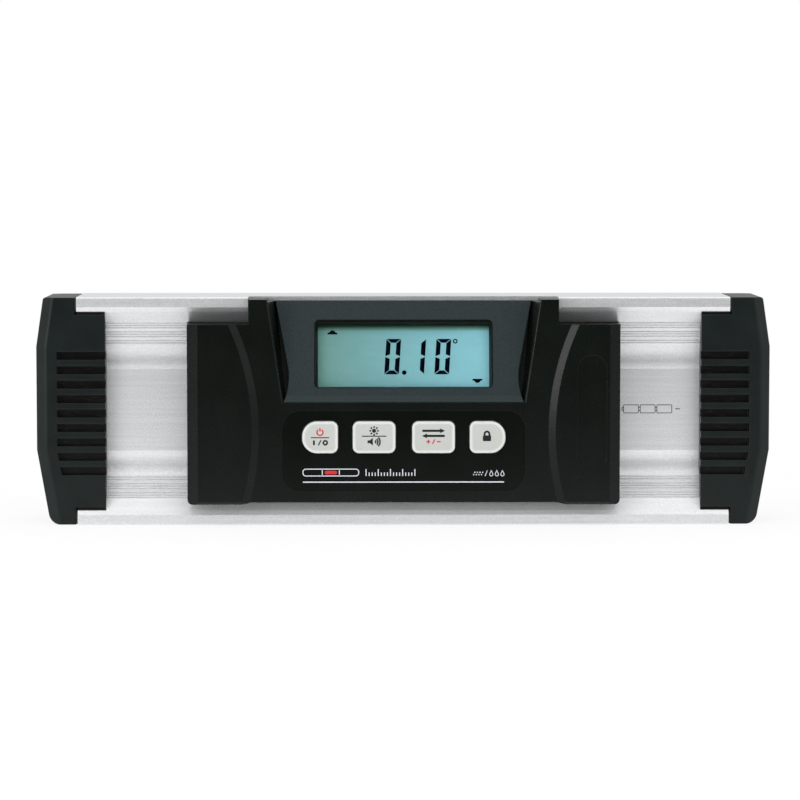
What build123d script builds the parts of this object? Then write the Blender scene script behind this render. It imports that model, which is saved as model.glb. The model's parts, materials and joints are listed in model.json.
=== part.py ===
from build123d import *
from math import atan2, cos, degrees, hypot, radians, sin, tan
import os

os.makedirs("parts", exist_ok=True)

# Digital spirit level, in millimetres.
# +X runs along the level to the user's right, -Y faces the user, +Z is up.
# The origin is on the base plane, half way along the V groove.

# Battery bay, which sets the thickness of the web
CELL_DIAMETER = 10.5
CELL_LENGTH = 44.5
CELL_COUNT = 3
CELL_GAP = 0.05
CELL_NUB_DIAMETER = 3.8
CELL_NUB_LENGTH = 1.0
CELL_CLEARANCE = 0.2
TUBE_WALL = 0.95
TUBE_CLEARANCE = 0.2
TUBE_FLANGE_OVERLAP = 1.0
TUBE_FLANGE_THICKNESS = 1.6

# Aluminium profile, from the outer faces inwards
BODY_LENGTH = 200.0
BODY_HEIGHT = 70.0
BODY_DEPTH = 30.0
EDGE_BREAK = 0.4
LIP_FACE = 3.1
LIP_BEVEL_HEIGHT = 1.35
LIP_BEVEL_DEPTH = 0.7
SLANT_HEIGHT = 3.4
GRIP_HEIGHT = 7.0
GRIP_DEPTH = 2.2
GRIP_GROOVE_WIDTH = 0.45
GRIP_GROOVE_DEPTH = 0.4
GRIP_START = 0.3
GRIP_GROUP_COUNT = 3
GRIP_GROUP_PITCH = 2.87
GRIP_GROUP_GROOVES = 3
GRIP_SPACING = 0.76
COVE_HEIGHT = 7.55
COVE_DEPTH = 0.9
COVE_STEP = 0.6
WEB_WALL = 2.2
FLANGE_THICKNESS = 9.5
V_GROOVE_WIDTH = 13.0
V_GROOVE_DEPTH = 4.0

# Base magnets
MAGNET_DIAMETER = 8.0
MAGNET_THICKNESS = 3.5
MAGNET_PITCH = 48.0
MAGNET_COUNT = 4
MAGNET_CLEARANCE = 0.05

# Flats round the hidden round pieces, and round the screws and their holes
ROUND_SIDES = 20
SCREW_SIDES = 8

# Screws
SCREW_FIT = 0.05
SCREW_PASS = 0.2
CAP_SCREW_DIAMETER = 3.0
CAP_SCREW_HEAD_DIAMETER = 5.6
CAP_SCREW_HEAD_HEIGHT = 1.9
CAP_SCREW_LENGTH = 15.0
CAP_SCREW_RISE = 2.2
CAP_SCREW_BOSS_WALL = 1.6
CAP_SCREW_SEAT = 6.4
COVER_SCREW_DIAMETER = 3.0
COVER_SCREW_HEAD_DIAMETER = 5.6
COVER_SCREW_HEAD_HEIGHT = 1.2
COVER_SCREW_BITE = 7.0
COVER_SCREW_INSET = 8.0
COVER_SCREW_PITCH = 18.0
BOARD_SCREW_DIAMETER = 2.0
BOARD_SCREW_HEAD_DIAMETER = 3.6
BOARD_SCREW_HEAD_HEIGHT = 1.2
BOARD_SCREW_BITE = 1.6
BOSS_WALL = 1.4

# End caps
CAP_LENGTH = 12.5
CAP_SKIRT = 8.7
CAP_FACE_SETBACK = 0.4
CAP_BASE_SETBACK = 0.15
CAP_LIP_GAP = 0.1
CAP_REBATE_HEIGHT = 0.8
CAP_REBATE_DEPTH = 1.5
CAP_FIT = 0.25
CAP_TOP_TAPER_HEIGHT = 15.3
CAP_TOP_TAPER_DRAW = 2.2
CAP_BOTTOM_TAPER_HEIGHT = 23.0
CAP_BOTTOM_TAPER_DRAW = 4.0
CAP_TOP_CORNER = 1.0
CAP_BOTTOM_CORNER = 3.6
CAP_BEVEL_WIDTH = 3.0
CAP_BEVEL_DEPTH = 2.0
CAP_CREASE_ROUND = 2.0
CAP_POCKET_DEPTH = 5.5
CAP_POCKET_WALL = 3.6
CAP_SLOT_COUNT = 9
CAP_SLOT_HEIGHT = 2.45
CAP_SLOT_PITCH = 4.43
CAP_SLOT_DEPTH = 2.2
CAP_SLOT_DROP = 0.65
CAP_SLOT_MARGIN = 6.4
END_GASKET_THICKNESS = 0.6
END_GASKET_INSET = 0.3

# Battery cap in the right end cap
PORT_DIAMETER = 13.4
PORT_WALL = 3.6
BATTERY_CAP_FIT = 0.08
BATTERY_CAP_HEAD_DIAMETER = 19.0
BATTERY_CAP_HEAD_THICKNESS = 2.2
BATTERY_CAP_HEAD_CLEARANCE = 0.3
BATTERY_CAP_END_GAP = 0.4
COIN_SLOT_LENGTH = 13.0
COIN_SLOT_WIDTH = 1.8
COIN_SLOT_DEPTH = 1.4
SEAL_SECTION = 1.24
SEAL_CLEARANCE = 0.13
SEAL_GROOVE_WIDTH = 1.8
SEAL_GROOVE_PLACE = 3.4
SPRING_HEIGHT = 4.0
SPRING_SHEET = 0.4
SPRING_LENGTH = 9.0
SPRING_WIDTH = 5.0
SPRING_TIP = 2.0
CONTACT_GAP = 0.1
CONTACT_THICKNESS = 0.5
CONTACT_TAB_WIDTH = 3.0
CONTACT_RIM = 0.2
STRIP_THICKNESS = 0.4
STRIP_END_GAP = 0.5
STRIP_TAB_INSET = 15.0

# Front housing
COVER_LENGTH = 132.0
COVER_PROUD = 5.8
COVER_WALL = 2.0
COVER_FRONT_WALL = 2.2
COVER_SIDE_CLEARANCE = 0.3
COVER_GASKET_THICKNESS = 0.6
COVER_GASKET_INSET = 0.3
SEAT_CUT = 0.2
WING_RISE = 2.5
WING_DROP = 0.15
WING_CORNER = 1.4
WING_CHAMFER_WIDTH = 3.2
WING_CHAMFER_DEPTH = 1.9
WING_EDGE = 0.8
CENTRE_RISE = 0.75
CENTRE_STEP_INNER = 46.0
CENTRE_STEP_LENGTH = 3.5
EAR_SPAN = 94.4
EAR_DROP = 0.5
PAD_RISE = 1.2
PAD_SPACING = 90.4
PAD_ARC_RADIUS = 80.0
PAD_ARC_DROP = 6.0
PAD_BEVEL = 2.2
NAME_RECESS_WIDTH = 8.8
NAME_RECESS_HEIGHT = 35.2
NAME_RECESS_DEPTH = 0.4
NAME_RECESS_INSET = 8.6
WINDOW_INSET = 17.0
WINDOW_MARGIN = 1.5

# Keypad
OVERLAY_LENGTH = 73.9
OVERLAY_HEIGHT = 24.3
OVERLAY_CORNER = 5.5
OVERLAY_THICKNESS = 0.5
OVERLAY_RISE = 3.55
OVERLAY_CLEARANCE = 0.1
KEY_ROW_RISE = 16.35
KEY_HEIGHT = 9.8
END_KEY_WIDTH = 10.95
MIDDLE_KEY_WIDTH = 13.1
KEY_GAP = 4.45
KEY_MIDDLE_GAP = 5.0
KEY_CORNER = 2.0
KEY_ROUND_END = 4.6
KEY_PROUD = 1.3
KEY_EDGE = 0.4
KEY_RIM = 1.1
KEY_DISH = 0.25
KEY_TRAVEL = 0.8
KEY_CLEARANCE = 0.25
KEY_STOP_GAP = 0.1
KEY_COLLAR = 0.8
KEY_COLLAR_THICKNESS = 1.0
KEY_MAT_MARGIN = 1.2
KEY_BOARD_THICKNESS = 1.2

# Display
BEZEL_GAP = 2.5
BEZEL_TOP_DROP = 1.2
BEZEL_LIP_HEIGHT = 1.95
BEZEL_LIP_SETBACK = 0.2
BEZEL_RECESS = 2.0
BEZEL_TOP_DEPTH = 3.8
BEZEL_THICKNESS = 1.8
BEZEL_TOP_WIDTH = 78.3
BEZEL_WAIST_WIDTH = 68.6
BEZEL_WAIST_RISE = 3.4
BEZEL_WAIST_ROUND = 18.0
BEZEL_LIP_WIDTH = 73.4
RECESS_EDGE = 1.0
RECESS_CLEARANCE = 0.1
RECESS_LEDGE = 2.4
RECESS_DRAFT = 12.5
RECESS_FLOOR = 1.2
RECESS_WALL = 1.5
SIGHT_WIDTH = 53.9
SIGHT_CORNER = 1.2
SIGHT_DRAFT = 22.0
SIGHT_TOP_MARGIN = 6.8
SIGHT_BOTTOM_MARGIN = 2.25
GLASS_MARGIN_SIDE = 2.05
GLASS_MARGIN_TOP = 0.9
GLASS_MARGIN_BOTTOM = 1.7
GLASS_CLEARANCE = 0.3
PANE_THICKNESS = 1.0
LCD_THICKNESS = 1.6
BACKLIGHT_THICKNESS = 0.9
BACKLIGHT_INSET_SIDE = 1.5
BACKLIGHT_INSET_TOP = 1.9
BACKLIGHT_INSET_BOTTOM = 2.6
CLAMP_FOOT = 3.0
CLAMP_REACH = 1.1
CLAMP_THICKNESS = 0.8
CLAMP_LENGTH = 14.0
PIN_COUNT = 13
PIN_PITCH = 4.0
PIN_SIZE = 0.5
PIN_EDGE = 1.2

# Electronics
BOARD_TUBE_GAP = 0.4
MAIN_BOARD_THICKNESS = 1.2
MAIN_BOARD_CLEARANCE = 2.0
MAIN_BOARD_HOLE_INSET = 3.5
CONNECTOR_LENGTH = 20.0
CONNECTOR_WIDTH = 2.5
CONNECTOR_DROP = 4.0
PARTS_ROW_DROP = 5.0
SENSOR_SIZE = 12.0
SENSOR_HEIGHT = 4.0
SENSOR_PLACE = -26.0
CHIP_SIZE = 10.0
CHIP_HEIGHT = 1.4
CHIP_PLACE = 20.0
BUZZER_DIAMETER = 9.0
BUZZER_HEIGHT = 4.0
BUZZER_PLACE = 33.0

# Levels of the profile, measured from the outer face of a flange
lip_end = LIP_FACE + LIP_BEVEL_HEIGHT
slant_end = lip_end + SLANT_HEIGHT
grip_end = slant_end + GRIP_HEIGHT
cove_end = grip_end + COVE_HEIGHT

# Half thicknesses of the profile, measured from its middle plane
tube_bore = CELL_DIAMETER / 2 + CELL_CLEARANCE
tube_radius = tube_bore + TUBE_WALL
cavity_half = tube_radius + TUBE_CLEARANCE
web_half = cavity_half + WEB_WALL
grip_inner = web_half + COVE_STEP
grip_outer = grip_inner + GRIP_DEPTH
body_half = BODY_DEPTH / 2
body_end = BODY_LENGTH / 2
mid_height = BODY_HEIGHT / 2
cavity_height = BODY_HEIGHT - 2 * FLANGE_THICKNESS

# Distances in front of the middle plane
seat = web_half - SEAT_CUT
cover_back = seat + COVER_GASKET_THICKNESS
cover_face = body_half + COVER_PROUD
cover_inner = cover_face - COVER_FRONT_WALL
pad_face = cover_face + PAD_RISE
board_back = tube_radius + BOARD_TUBE_GAP
board_front = board_back + MAIN_BOARD_THICKNESS
key_back = cover_inner - KEY_STOP_GAP - KEY_COLLAR_THICKNESS
key_board_front = key_back - KEY_TRAVEL - KEY_STOP_GAP
key_board_back = key_board_front - KEY_BOARD_THICKNESS
key_top = cover_face + KEY_PROUD

# Heights and half widths on the housing
wing_bottom = lip_end + WING_RISE
wing_top = BODY_HEIGHT - slant_end - WING_DROP
centre_bottom = wing_bottom + CENTRE_RISE
ear_top = BODY_HEIGHT - EAR_DROP
cover_half = COVER_LENGTH / 2
ear_half = EAR_SPAN / 2
overlay_bottom = centre_bottom + OVERLAY_RISE
overlay_middle = overlay_bottom + OVERLAY_HEIGHT / 2
key_row = overlay_bottom + KEY_ROW_RISE
recess_bottom = overlay_bottom + OVERLAY_HEIGHT + BEZEL_GAP
bezel_bottom = recess_bottom + RECESS_CLEARANCE
crease = bezel_bottom + BEZEL_LIP_HEIGHT
bezel_waist = crease + BEZEL_WAIST_RISE
bezel_top = BODY_HEIGHT - BEZEL_TOP_DROP
recess_low_half = BEZEL_LIP_WIDTH / 2 + RECESS_CLEARANCE
recess_high_half = BEZEL_TOP_WIDTH / 2 + RECESS_LEDGE
recess_draft = (cover_face - cover_back) * tan(radians(RECESS_DRAFT))

# The curve of the bezel's waist is limited by the short side below it
waist_run = (BEZEL_LIP_WIDTH - BEZEL_WAIST_WIDTH) / 2
waist_flare = (BEZEL_TOP_WIDTH - BEZEL_WAIST_WIDTH) / 2
waist_side = hypot(waist_run, bezel_waist - bezel_bottom)
waist_turn = atan2(waist_run, bezel_waist - bezel_bottom) + atan2(waist_flare, bezel_top - bezel_waist)
waist_round = min(BEZEL_WAIST_ROUND, (waist_side - RECESS_CLEARANCE) / tan(abs(waist_turn) / 2))

# Tilted plane of the display panel: local x along X, local y up its slope from the crease
crease_front = cover_face - BEZEL_RECESS
bezel_top_front = seat + BEZEL_TOP_DEPTH
panel_tilt = atan2(crease_front - bezel_top_front, bezel_top - crease)
panel_height = (bezel_top - crease) / cos(panel_tilt)
panel = Plane(
    origin=(0, -crease_front, crease),
    x_dir=(1, 0, 0),
    z_dir=(0, -cos(panel_tilt), sin(panel_tilt)),
)
recess_floor = panel.offset(-BEZEL_THICKNESS)
recess_floor_back = recess_floor.offset(-RECESS_FLOOR)
lcd_front = recess_floor.offset(-PANE_THICKNESS)
lcd_back = lcd_front.offset(-LCD_THICKNESS)

# Sight opening and glass, as spans up the slope of the panel
sight_low = SIGHT_BOTTOM_MARGIN
sight_high = panel_height - SIGHT_TOP_MARGIN
sight_height = sight_high - sight_low
sight_middle = (sight_low + sight_high) / 2
glass_low = sight_low - GLASS_MARGIN_BOTTOM
glass_high = sight_high + GLASS_MARGIN_TOP
glass_height = glass_high - glass_low
glass_middle = (glass_low + glass_high) / 2
glass_width = SIGHT_WIDTH + 2 * GLASS_MARGIN_SIDE
backlight_low = glass_low + BACKLIGHT_INSET_BOTTOM
backlight_high = glass_high - BACKLIGHT_INSET_TOP

# Window in the web and the main board inside it
window_half = cover_half - WINDOW_INSET
window_low = FLANGE_THICKNESS + WINDOW_MARGIN
window_height = BODY_HEIGHT - 2 * window_low
board_half = window_half - MAIN_BOARD_CLEARANCE
board_height = window_height - 2 * MAIN_BOARD_CLEARANCE
parts_row = key_row - PARTS_ROW_DROP

# Screw places and the posts that take them
cap_post = CAP_SCREW_DIAMETER + 2 * (SCREW_FIT + CAP_SCREW_BOSS_WALL)
cap_head_post = CAP_SCREW_HEAD_DIAMETER + 2 * CAP_SCREW_BOSS_WALL
cover_post = COVER_SCREW_DIAMETER + 2 * (SCREW_FIT + BOSS_WALL)
board_post = BOARD_SCREW_DIAMETER + 2 * (SCREW_FIT + BOSS_WALL)
cap_screw_low = FLANGE_THICKNESS + CAP_SCREW_RISE
cap_screw_places = [(0, cap_screw_low), (0, BODY_HEIGHT - cap_screw_low)]
cover_screw_places = [
    (side * (cover_half - COVER_SCREW_INSET), mid_height + up * COVER_SCREW_PITCH / 2)
    for side in (-1, 1)
    for up in (-1, 1)
]
main_board_places = [
    (
        side * (board_half - MAIN_BOARD_HOLE_INSET),
        mid_height + up * (board_height / 2 - MAIN_BOARD_HOLE_INSET),
    )
    for side in (-1, 1)
    for up in (-1, 1)
]

# End caps
cap_shoulder = body_end + END_GASKET_THICKNESS
cap_reach = body_end + CAP_LENGTH
cap_skirt_end = body_end - CAP_SKIRT
cap_inset = cap_shoulder - cap_skirt_end
cap_half = body_half - CAP_FACE_SETBACK
cap_base = CAP_BASE_SETBACK
cap_top = BODY_HEIGHT - CAP_BASE_SETBACK
cap_skirt_low = lip_end + CAP_LIP_GAP
cap_skirt_high = BODY_HEIGHT - cap_skirt_low

# Battery stack along X, from the flange of the tube inwards
tube_flange_radius = cavity_half + TUBE_FLANGE_OVERLAP
tube_flange_end = body_end + TUBE_FLANGE_THICKNESS
plug_end = tube_flange_end + BATTERY_CAP_END_GAP
cells_right = plug_end - SPRING_HEIGHT - CONTACT_GAP
cell_pitch = CELL_LENGTH + CELL_GAP
cells_left = cells_right - CELL_COUNT * cell_pitch
port_radius = PORT_DIAMETER / 2
plug_radius = port_radius - BATTERY_CAP_FIT
battery_head = cap_reach - BATTERY_CAP_HEAD_THICKNESS
seal_place = plug_end + SEAL_GROOVE_PLACE
seal_outer = port_radius - SEAL_CLEARANCE
seal_floor = seal_outer - SEAL_SECTION - SEAL_CLEARANCE
strip_start = board_half - STRIP_TAB_INSET
strip_end = body_end - STRIP_END_GAP

# Keys from left to right: label, centre, width, and the radii of the left and right corners
row_middle = (KEY_MIDDLE_GAP + MIDDLE_KEY_WIDTH) / 2
row_end = row_middle + (MIDDLE_KEY_WIDTH + END_KEY_WIDTH) / 2 + KEY_GAP
KEYS = [
    ("power_key", -row_end, END_KEY_WIDTH, KEY_ROUND_END, KEY_CORNER),
    ("light_key", -row_middle, MIDDLE_KEY_WIDTH, KEY_CORNER, KEY_CORNER),
    ("mode_key", row_middle, MIDDLE_KEY_WIDTH, KEY_CORNER, KEY_CORNER),
    ("hold_key", row_end, END_KEY_WIDTH, KEY_CORNER, KEY_ROUND_END),
]
mat_growth = KEY_COLLAR + KEY_CLEARANCE + KEY_MAT_MARGIN
mat_half = row_end + END_KEY_WIDTH / 2 + mat_growth
mat_height = KEY_HEIGHT + 2 * mat_growth
key_board_screw = mat_half + KEY_CLEARANCE + board_post / 2
key_board_half = key_board_screw + board_post / 2
key_board_places = [(-key_board_screw, key_row), (key_board_screw, key_row)]


def front(distance):
    """Plane that faces the user, this far in front of the middle plane."""
    return Plane.XZ.offset(distance)


def behind(distance):
    """Plane that faces away from the user, this far in front of the middle plane."""
    return Plane(origin=(0, -distance, 0), x_dir=(-1, 0, 0), z_dir=(0, 1, 0))


def across(place):
    """Cross-section plane at this place along the level."""
    return Plane.YZ.offset(place)


def keep(piece, label):
    """Names a finished piece and writes it."""
    piece.label = label
    export_step(piece, f"parts/{label}.step")


def grip_points(start, end):
    """Points of a straight run with groups of V grooves cut into it, as many as fit."""
    run = end - start
    along = run.normalized()
    inward = Vector(along.Y, -along.X)
    half = along * (GRIP_GROOVE_WIDTH / 2)
    points = [start]
    for group in range(GRIP_GROUP_COUNT):
        for groove in range(GRIP_GROUP_GROOVES):
            place = GRIP_START + group * GRIP_GROUP_PITCH + groove * GRIP_SPACING
            if place + GRIP_GROOVE_WIDTH < run.length:
                root = start + along * place
                points += [root - half, root + inward * GRIP_GROOVE_DEPTH, root + half]
    return points + [end]


def profile_section(grooved):
    """Cross-section of the profile, with or without its fine grip grooves."""
    grip_start = Vector(grip_outer, BODY_HEIGHT - slant_end)
    grip_stop = Vector(grip_inner, BODY_HEIGHT - grip_end)
    cove_stop = Vector(web_half, BODY_HEIGHT - cove_end)
    cove_middle = (grip_stop + cove_stop) / 2 - Vector(COVE_DEPTH, 0)
    grip = grip_points(grip_start, grip_stop) if grooved else [grip_start, grip_stop]
    with BuildSketch(Plane.XY) as section:
        with BuildLine():
            Polyline(
                (0, BODY_HEIGHT),
                (body_half - EDGE_BREAK, BODY_HEIGHT),
                (body_half, BODY_HEIGHT - EDGE_BREAK),
                (body_half, BODY_HEIGHT - LIP_FACE),
                (body_half - LIP_BEVEL_DEPTH, BODY_HEIGHT - lip_end),
                grip_start,
            )
            Polyline(*grip)
            ThreePointArc(grip_stop, cove_middle, cove_stop)
            Polyline(cove_stop, (web_half, mid_height), (0, mid_height), (0, BODY_HEIGHT))
        make_face()
        mirror(about=Plane.YZ)
        mirror(about=Plane((0, mid_height, 0), z_dir=(0, 1, 0)))
    return section.sketch


def v_groove_section(growth):
    """Triangle of the base groove, grown by a clearance."""
    with BuildSketch(Plane.XY) as section:
        with BuildLine():
            Polyline(
                (-V_GROOVE_WIDTH / 2 - growth, 0),
                (V_GROOVE_WIDTH / 2 + growth, 0),
                (0, V_GROOVE_DEPTH + growth),
                close=True,
            )
        make_face()
    return section.sketch


def cover_section():
    """Front outline of the housing, with its two ears and its stepped lower edge."""
    with BuildSketch(Plane.XY) as outline:
        with BuildLine():
            Polyline(
                (0, centre_bottom),
                (CENTRE_STEP_INNER, centre_bottom),
                (CENTRE_STEP_INNER + CENTRE_STEP_LENGTH, wing_bottom),
                (cover_half, wing_bottom),
                (cover_half, wing_top),
                (ear_half, wing_top),
                (ear_half, ear_top),
                (recess_high_half, ear_top),
                (recess_high_half, bezel_top),
                (0, bezel_top),
                close=True,
            )
        make_face()
        lower_corner = outline.vertices().group_by(Axis.X)[-1].sort_by(Axis.Y)[0]
        fillet(lower_corner, WING_CORNER)
        mirror(about=Plane.YZ)
    return outline.sketch


def trapezium(low_half, high_half, low, high):
    """Figure with a level top and bottom, symmetric about the middle."""
    with BuildSketch(Plane.XY) as figure:
        with BuildLine():
            Polyline((-low_half, low), (low_half, low), (high_half, high), (-high_half, high), close=True)
        make_face()
    return figure.sketch


def drafted_recess(gap):
    """Space of the display recess, widest at the front, less a gap at each side."""
    low_half = recess_low_half - gap
    high_half = recess_high_half - gap
    face_figure = trapezium(low_half, high_half, recess_bottom, BODY_HEIGHT)
    back_figure = trapezium(low_half - recess_draft, high_half - recess_draft, recess_bottom, BODY_HEIGHT)
    with BuildPart() as space:
        with BuildSketch(front(cover_back)):
            add(back_figure)
        with BuildSketch(front(cover_face)):
            add(face_figure)
        loft(ruled=True)
    return space.part


def key_section(place, width, left_corner, right_corner):
    """Front outline of one key."""
    with BuildSketch(Plane.XY) as outline:
        with Locations((place, key_row)):
            Rectangle(width, KEY_HEIGHT)
        fillet(outline.vertices().group_by(Axis.X)[0], left_corner)
        fillet(outline.vertices().group_by(Axis.X)[-1], right_corner)
    return outline.sketch


def key_sections(growth):
    """Front outlines of all the keys, grown by a clearance."""
    return Sketch() + [offset(key_section(*key[1:]), growth) for key in KEYS]


def key_boxes(growth):
    """Square-cornered openings for all the keys, grown by a clearance."""
    with BuildSketch(Plane.XY) as boxes:
        for _, place, width, _, _ in KEYS:
            with Locations((place, key_row)):
                Rectangle(width + 2 * growth, KEY_HEIGHT + 2 * growth)
    return boxes.sketch


def cap_section(rounded):
    """Front outline of the right end cap, with a skirt that reaches in between the flanges."""
    with BuildSketch(Plane.XY) as outline:
        with BuildLine():
            Polyline(
                (cap_shoulder, cap_base),
                (cap_reach - CAP_BOTTOM_TAPER_DRAW, cap_base),
                (cap_reach, CAP_BOTTOM_TAPER_HEIGHT),
                (cap_reach, BODY_HEIGHT - CAP_TOP_TAPER_HEIGHT),
                (cap_reach - CAP_TOP_TAPER_DRAW, cap_top),
                (cap_shoulder, cap_top),
                (cap_shoulder, cap_skirt_high),
                (cap_skirt_end, cap_skirt_high),
                (cap_skirt_end, cap_skirt_low),
                (cap_shoulder, cap_skirt_low),
                close=True,
            )
        make_face()
        if rounded:
            fillet(outline.vertices().group_by(Axis.Y)[0].sort_by(Axis.X)[-1], CAP_BOTTOM_CORNER)
            fillet(outline.vertices().group_by(Axis.Y)[-1].sort_by(Axis.X)[-1], CAP_TOP_CORNER)
    return outline.sketch


def cap_slots_section():
    """Grip slots of the right end cap, whose outer ends follow the taper of the cap."""
    inner = cap_skirt_end - CAP_SLOT_MARGIN
    outer = cap_reach - CAP_SLOT_MARGIN
    with BuildSketch(Plane.XY) as slots:
        with Locations((inner, mid_height - CAP_SLOT_DROP)):
            with GridLocations(0, CAP_SLOT_PITCH, 1, CAP_SLOT_COUNT):
                Rectangle(outer - inner, CAP_SLOT_HEIGHT, align=(Align.MIN, Align.CENTER))
        with BuildLine():
            Polyline(
                (inner, 0),
                (outer - CAP_BOTTOM_TAPER_DRAW, 0),
                (outer, CAP_BOTTOM_TAPER_HEIGHT),
                (outer, BODY_HEIGHT - CAP_TOP_TAPER_HEIGHT),
                (outer - CAP_TOP_TAPER_DRAW, BODY_HEIGHT),
                (inner, BODY_HEIGHT),
                close=True,
            )
        make_face(mode=Mode.INTERSECT)
    return slots.sketch


def end_cap(has_port):
    """Moulded cap for the right end, with the battery port or closed."""
    sharp_outline = cap_section(rounded=False)
    round_outline = cap_section(rounded=True)
    slots = cap_slots_section()
    profile = offset(profile_section(grooved=False), CAP_FIT, kind=Kind.INTERSECTION)
    groove = v_groove_section(CAP_FIT)
    with BuildPart() as cap:
        with BuildSketch(Plane.XZ):
            add(sharp_outline)
        extrude(amount=cap_half, both=True)
        for face in (cap.faces().sort_by(Axis.Y)[0], cap.faces().sort_by(Axis.Y)[-1]):
            rim = face.edges().filter_by(lambda edge: edge.center().X > battery_head)
            chamfer(rim, CAP_BEVEL_WIDTH, CAP_BEVEL_DEPTH, reference=face)
        for face in (cap.faces().sort_by(Axis.Y)[0], cap.faces().sort_by(Axis.Y)[-1]):
            creases = face.edges().filter_by(lambda edge: edge.center().X > battery_head - CAP_BEVEL_WIDTH)
            fillet(creases, CAP_CREASE_ROUND)
        with BuildSketch(Plane.XZ):
            add(round_outline)
        extrude(amount=cap_half, both=True, mode=Mode.INTERSECT)
        for side in (-1, 1):
            with BuildSketch(front(side * cap_half)):
                add(slots)
            extrude(amount=-side * CAP_SLOT_DEPTH, mode=Mode.SUBTRACT)
            with BuildSketch(front(side * cap_half)):
                with Locations((cap_skirt_end, mid_height)):
                    with GridLocations(0, cap_skirt_high - cap_skirt_low - CAP_REBATE_HEIGHT, 1, 2):
                        Rectangle(cap_inset, CAP_REBATE_HEIGHT, align=(Align.MIN, Align.CENTER))
            extrude(amount=-side * CAP_REBATE_DEPTH, mode=Mode.SUBTRACT)
        with BuildSketch(across(cap_skirt_end)):
            add(profile)
        extrude(amount=cap_inset, mode=Mode.SUBTRACT)
        with BuildSketch(across(cap_shoulder)):
            add(groove)
        extrude(amount=CAP_LENGTH, mode=Mode.SUBTRACT)
        with BuildSketch(across(cap_shoulder)):
            with Locations((0, mid_height)):
                Rectangle(2 * (cap_half - CAP_POCKET_WALL), cavity_height)
            with Locations(*cap_screw_places):
                Rectangle(cap_head_post, cap_head_post, mode=Mode.SUBTRACT)
            if has_port:
                port_post = 2 * (tube_flange_radius + PORT_WALL)
                with Locations((0, mid_height)):
                    Rectangle(port_post, port_post, mode=Mode.SUBTRACT)
        extrude(amount=CAP_POCKET_DEPTH, mode=Mode.SUBTRACT)
        with BuildSketch(across(cap_shoulder)):
            with Locations(*cap_screw_places):
                RegularPolygon(CAP_SCREW_DIAMETER / 2 + SCREW_PASS, SCREW_SIDES)
        extrude(amount=CAP_LENGTH, mode=Mode.SUBTRACT)
        with BuildSketch(across(cap_shoulder + CAP_SCREW_SEAT)):
            with Locations(*cap_screw_places):
                RegularPolygon(CAP_SCREW_HEAD_DIAMETER / 2 + SCREW_PASS, ROUND_SIDES)
        extrude(amount=CAP_LENGTH, mode=Mode.SUBTRACT)
        if has_port:
            with BuildSketch(across(cap_shoulder)):
                with Locations((0, mid_height)):
                    RegularPolygon(tube_flange_radius + TUBE_CLEARANCE, ROUND_SIDES)
            extrude(amount=tube_flange_end - cap_shoulder, mode=Mode.SUBTRACT)
            with BuildSketch(across(cap_shoulder)):
                with Locations((0, mid_height)):
                    Circle(port_radius)
            extrude(amount=CAP_LENGTH, mode=Mode.SUBTRACT)
            with BuildSketch(across(battery_head - BATTERY_CAP_HEAD_CLEARANCE)):
                with Locations((0, mid_height)):
                    Circle(BATTERY_CAP_HEAD_DIAMETER / 2 + BATTERY_CAP_HEAD_CLEARANCE)
            extrude(amount=CAP_LENGTH, mode=Mode.SUBTRACT)
    return cap.part


def cheese_head_screws(plane, places, shank, length, head, head_height):
    """Screws whose heads stand on a plane and whose shanks run behind it."""
    with BuildPart() as screws:
        with BuildSketch(plane):
            with Locations(*places):
                RegularPolygon(head / 2, SCREW_SIDES)
        extrude(amount=head_height)
        with BuildSketch(plane):
            with Locations(*places):
                RegularPolygon(shank / 2, SCREW_SIDES)
        extrude(amount=-length)
    return screws.part


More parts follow.
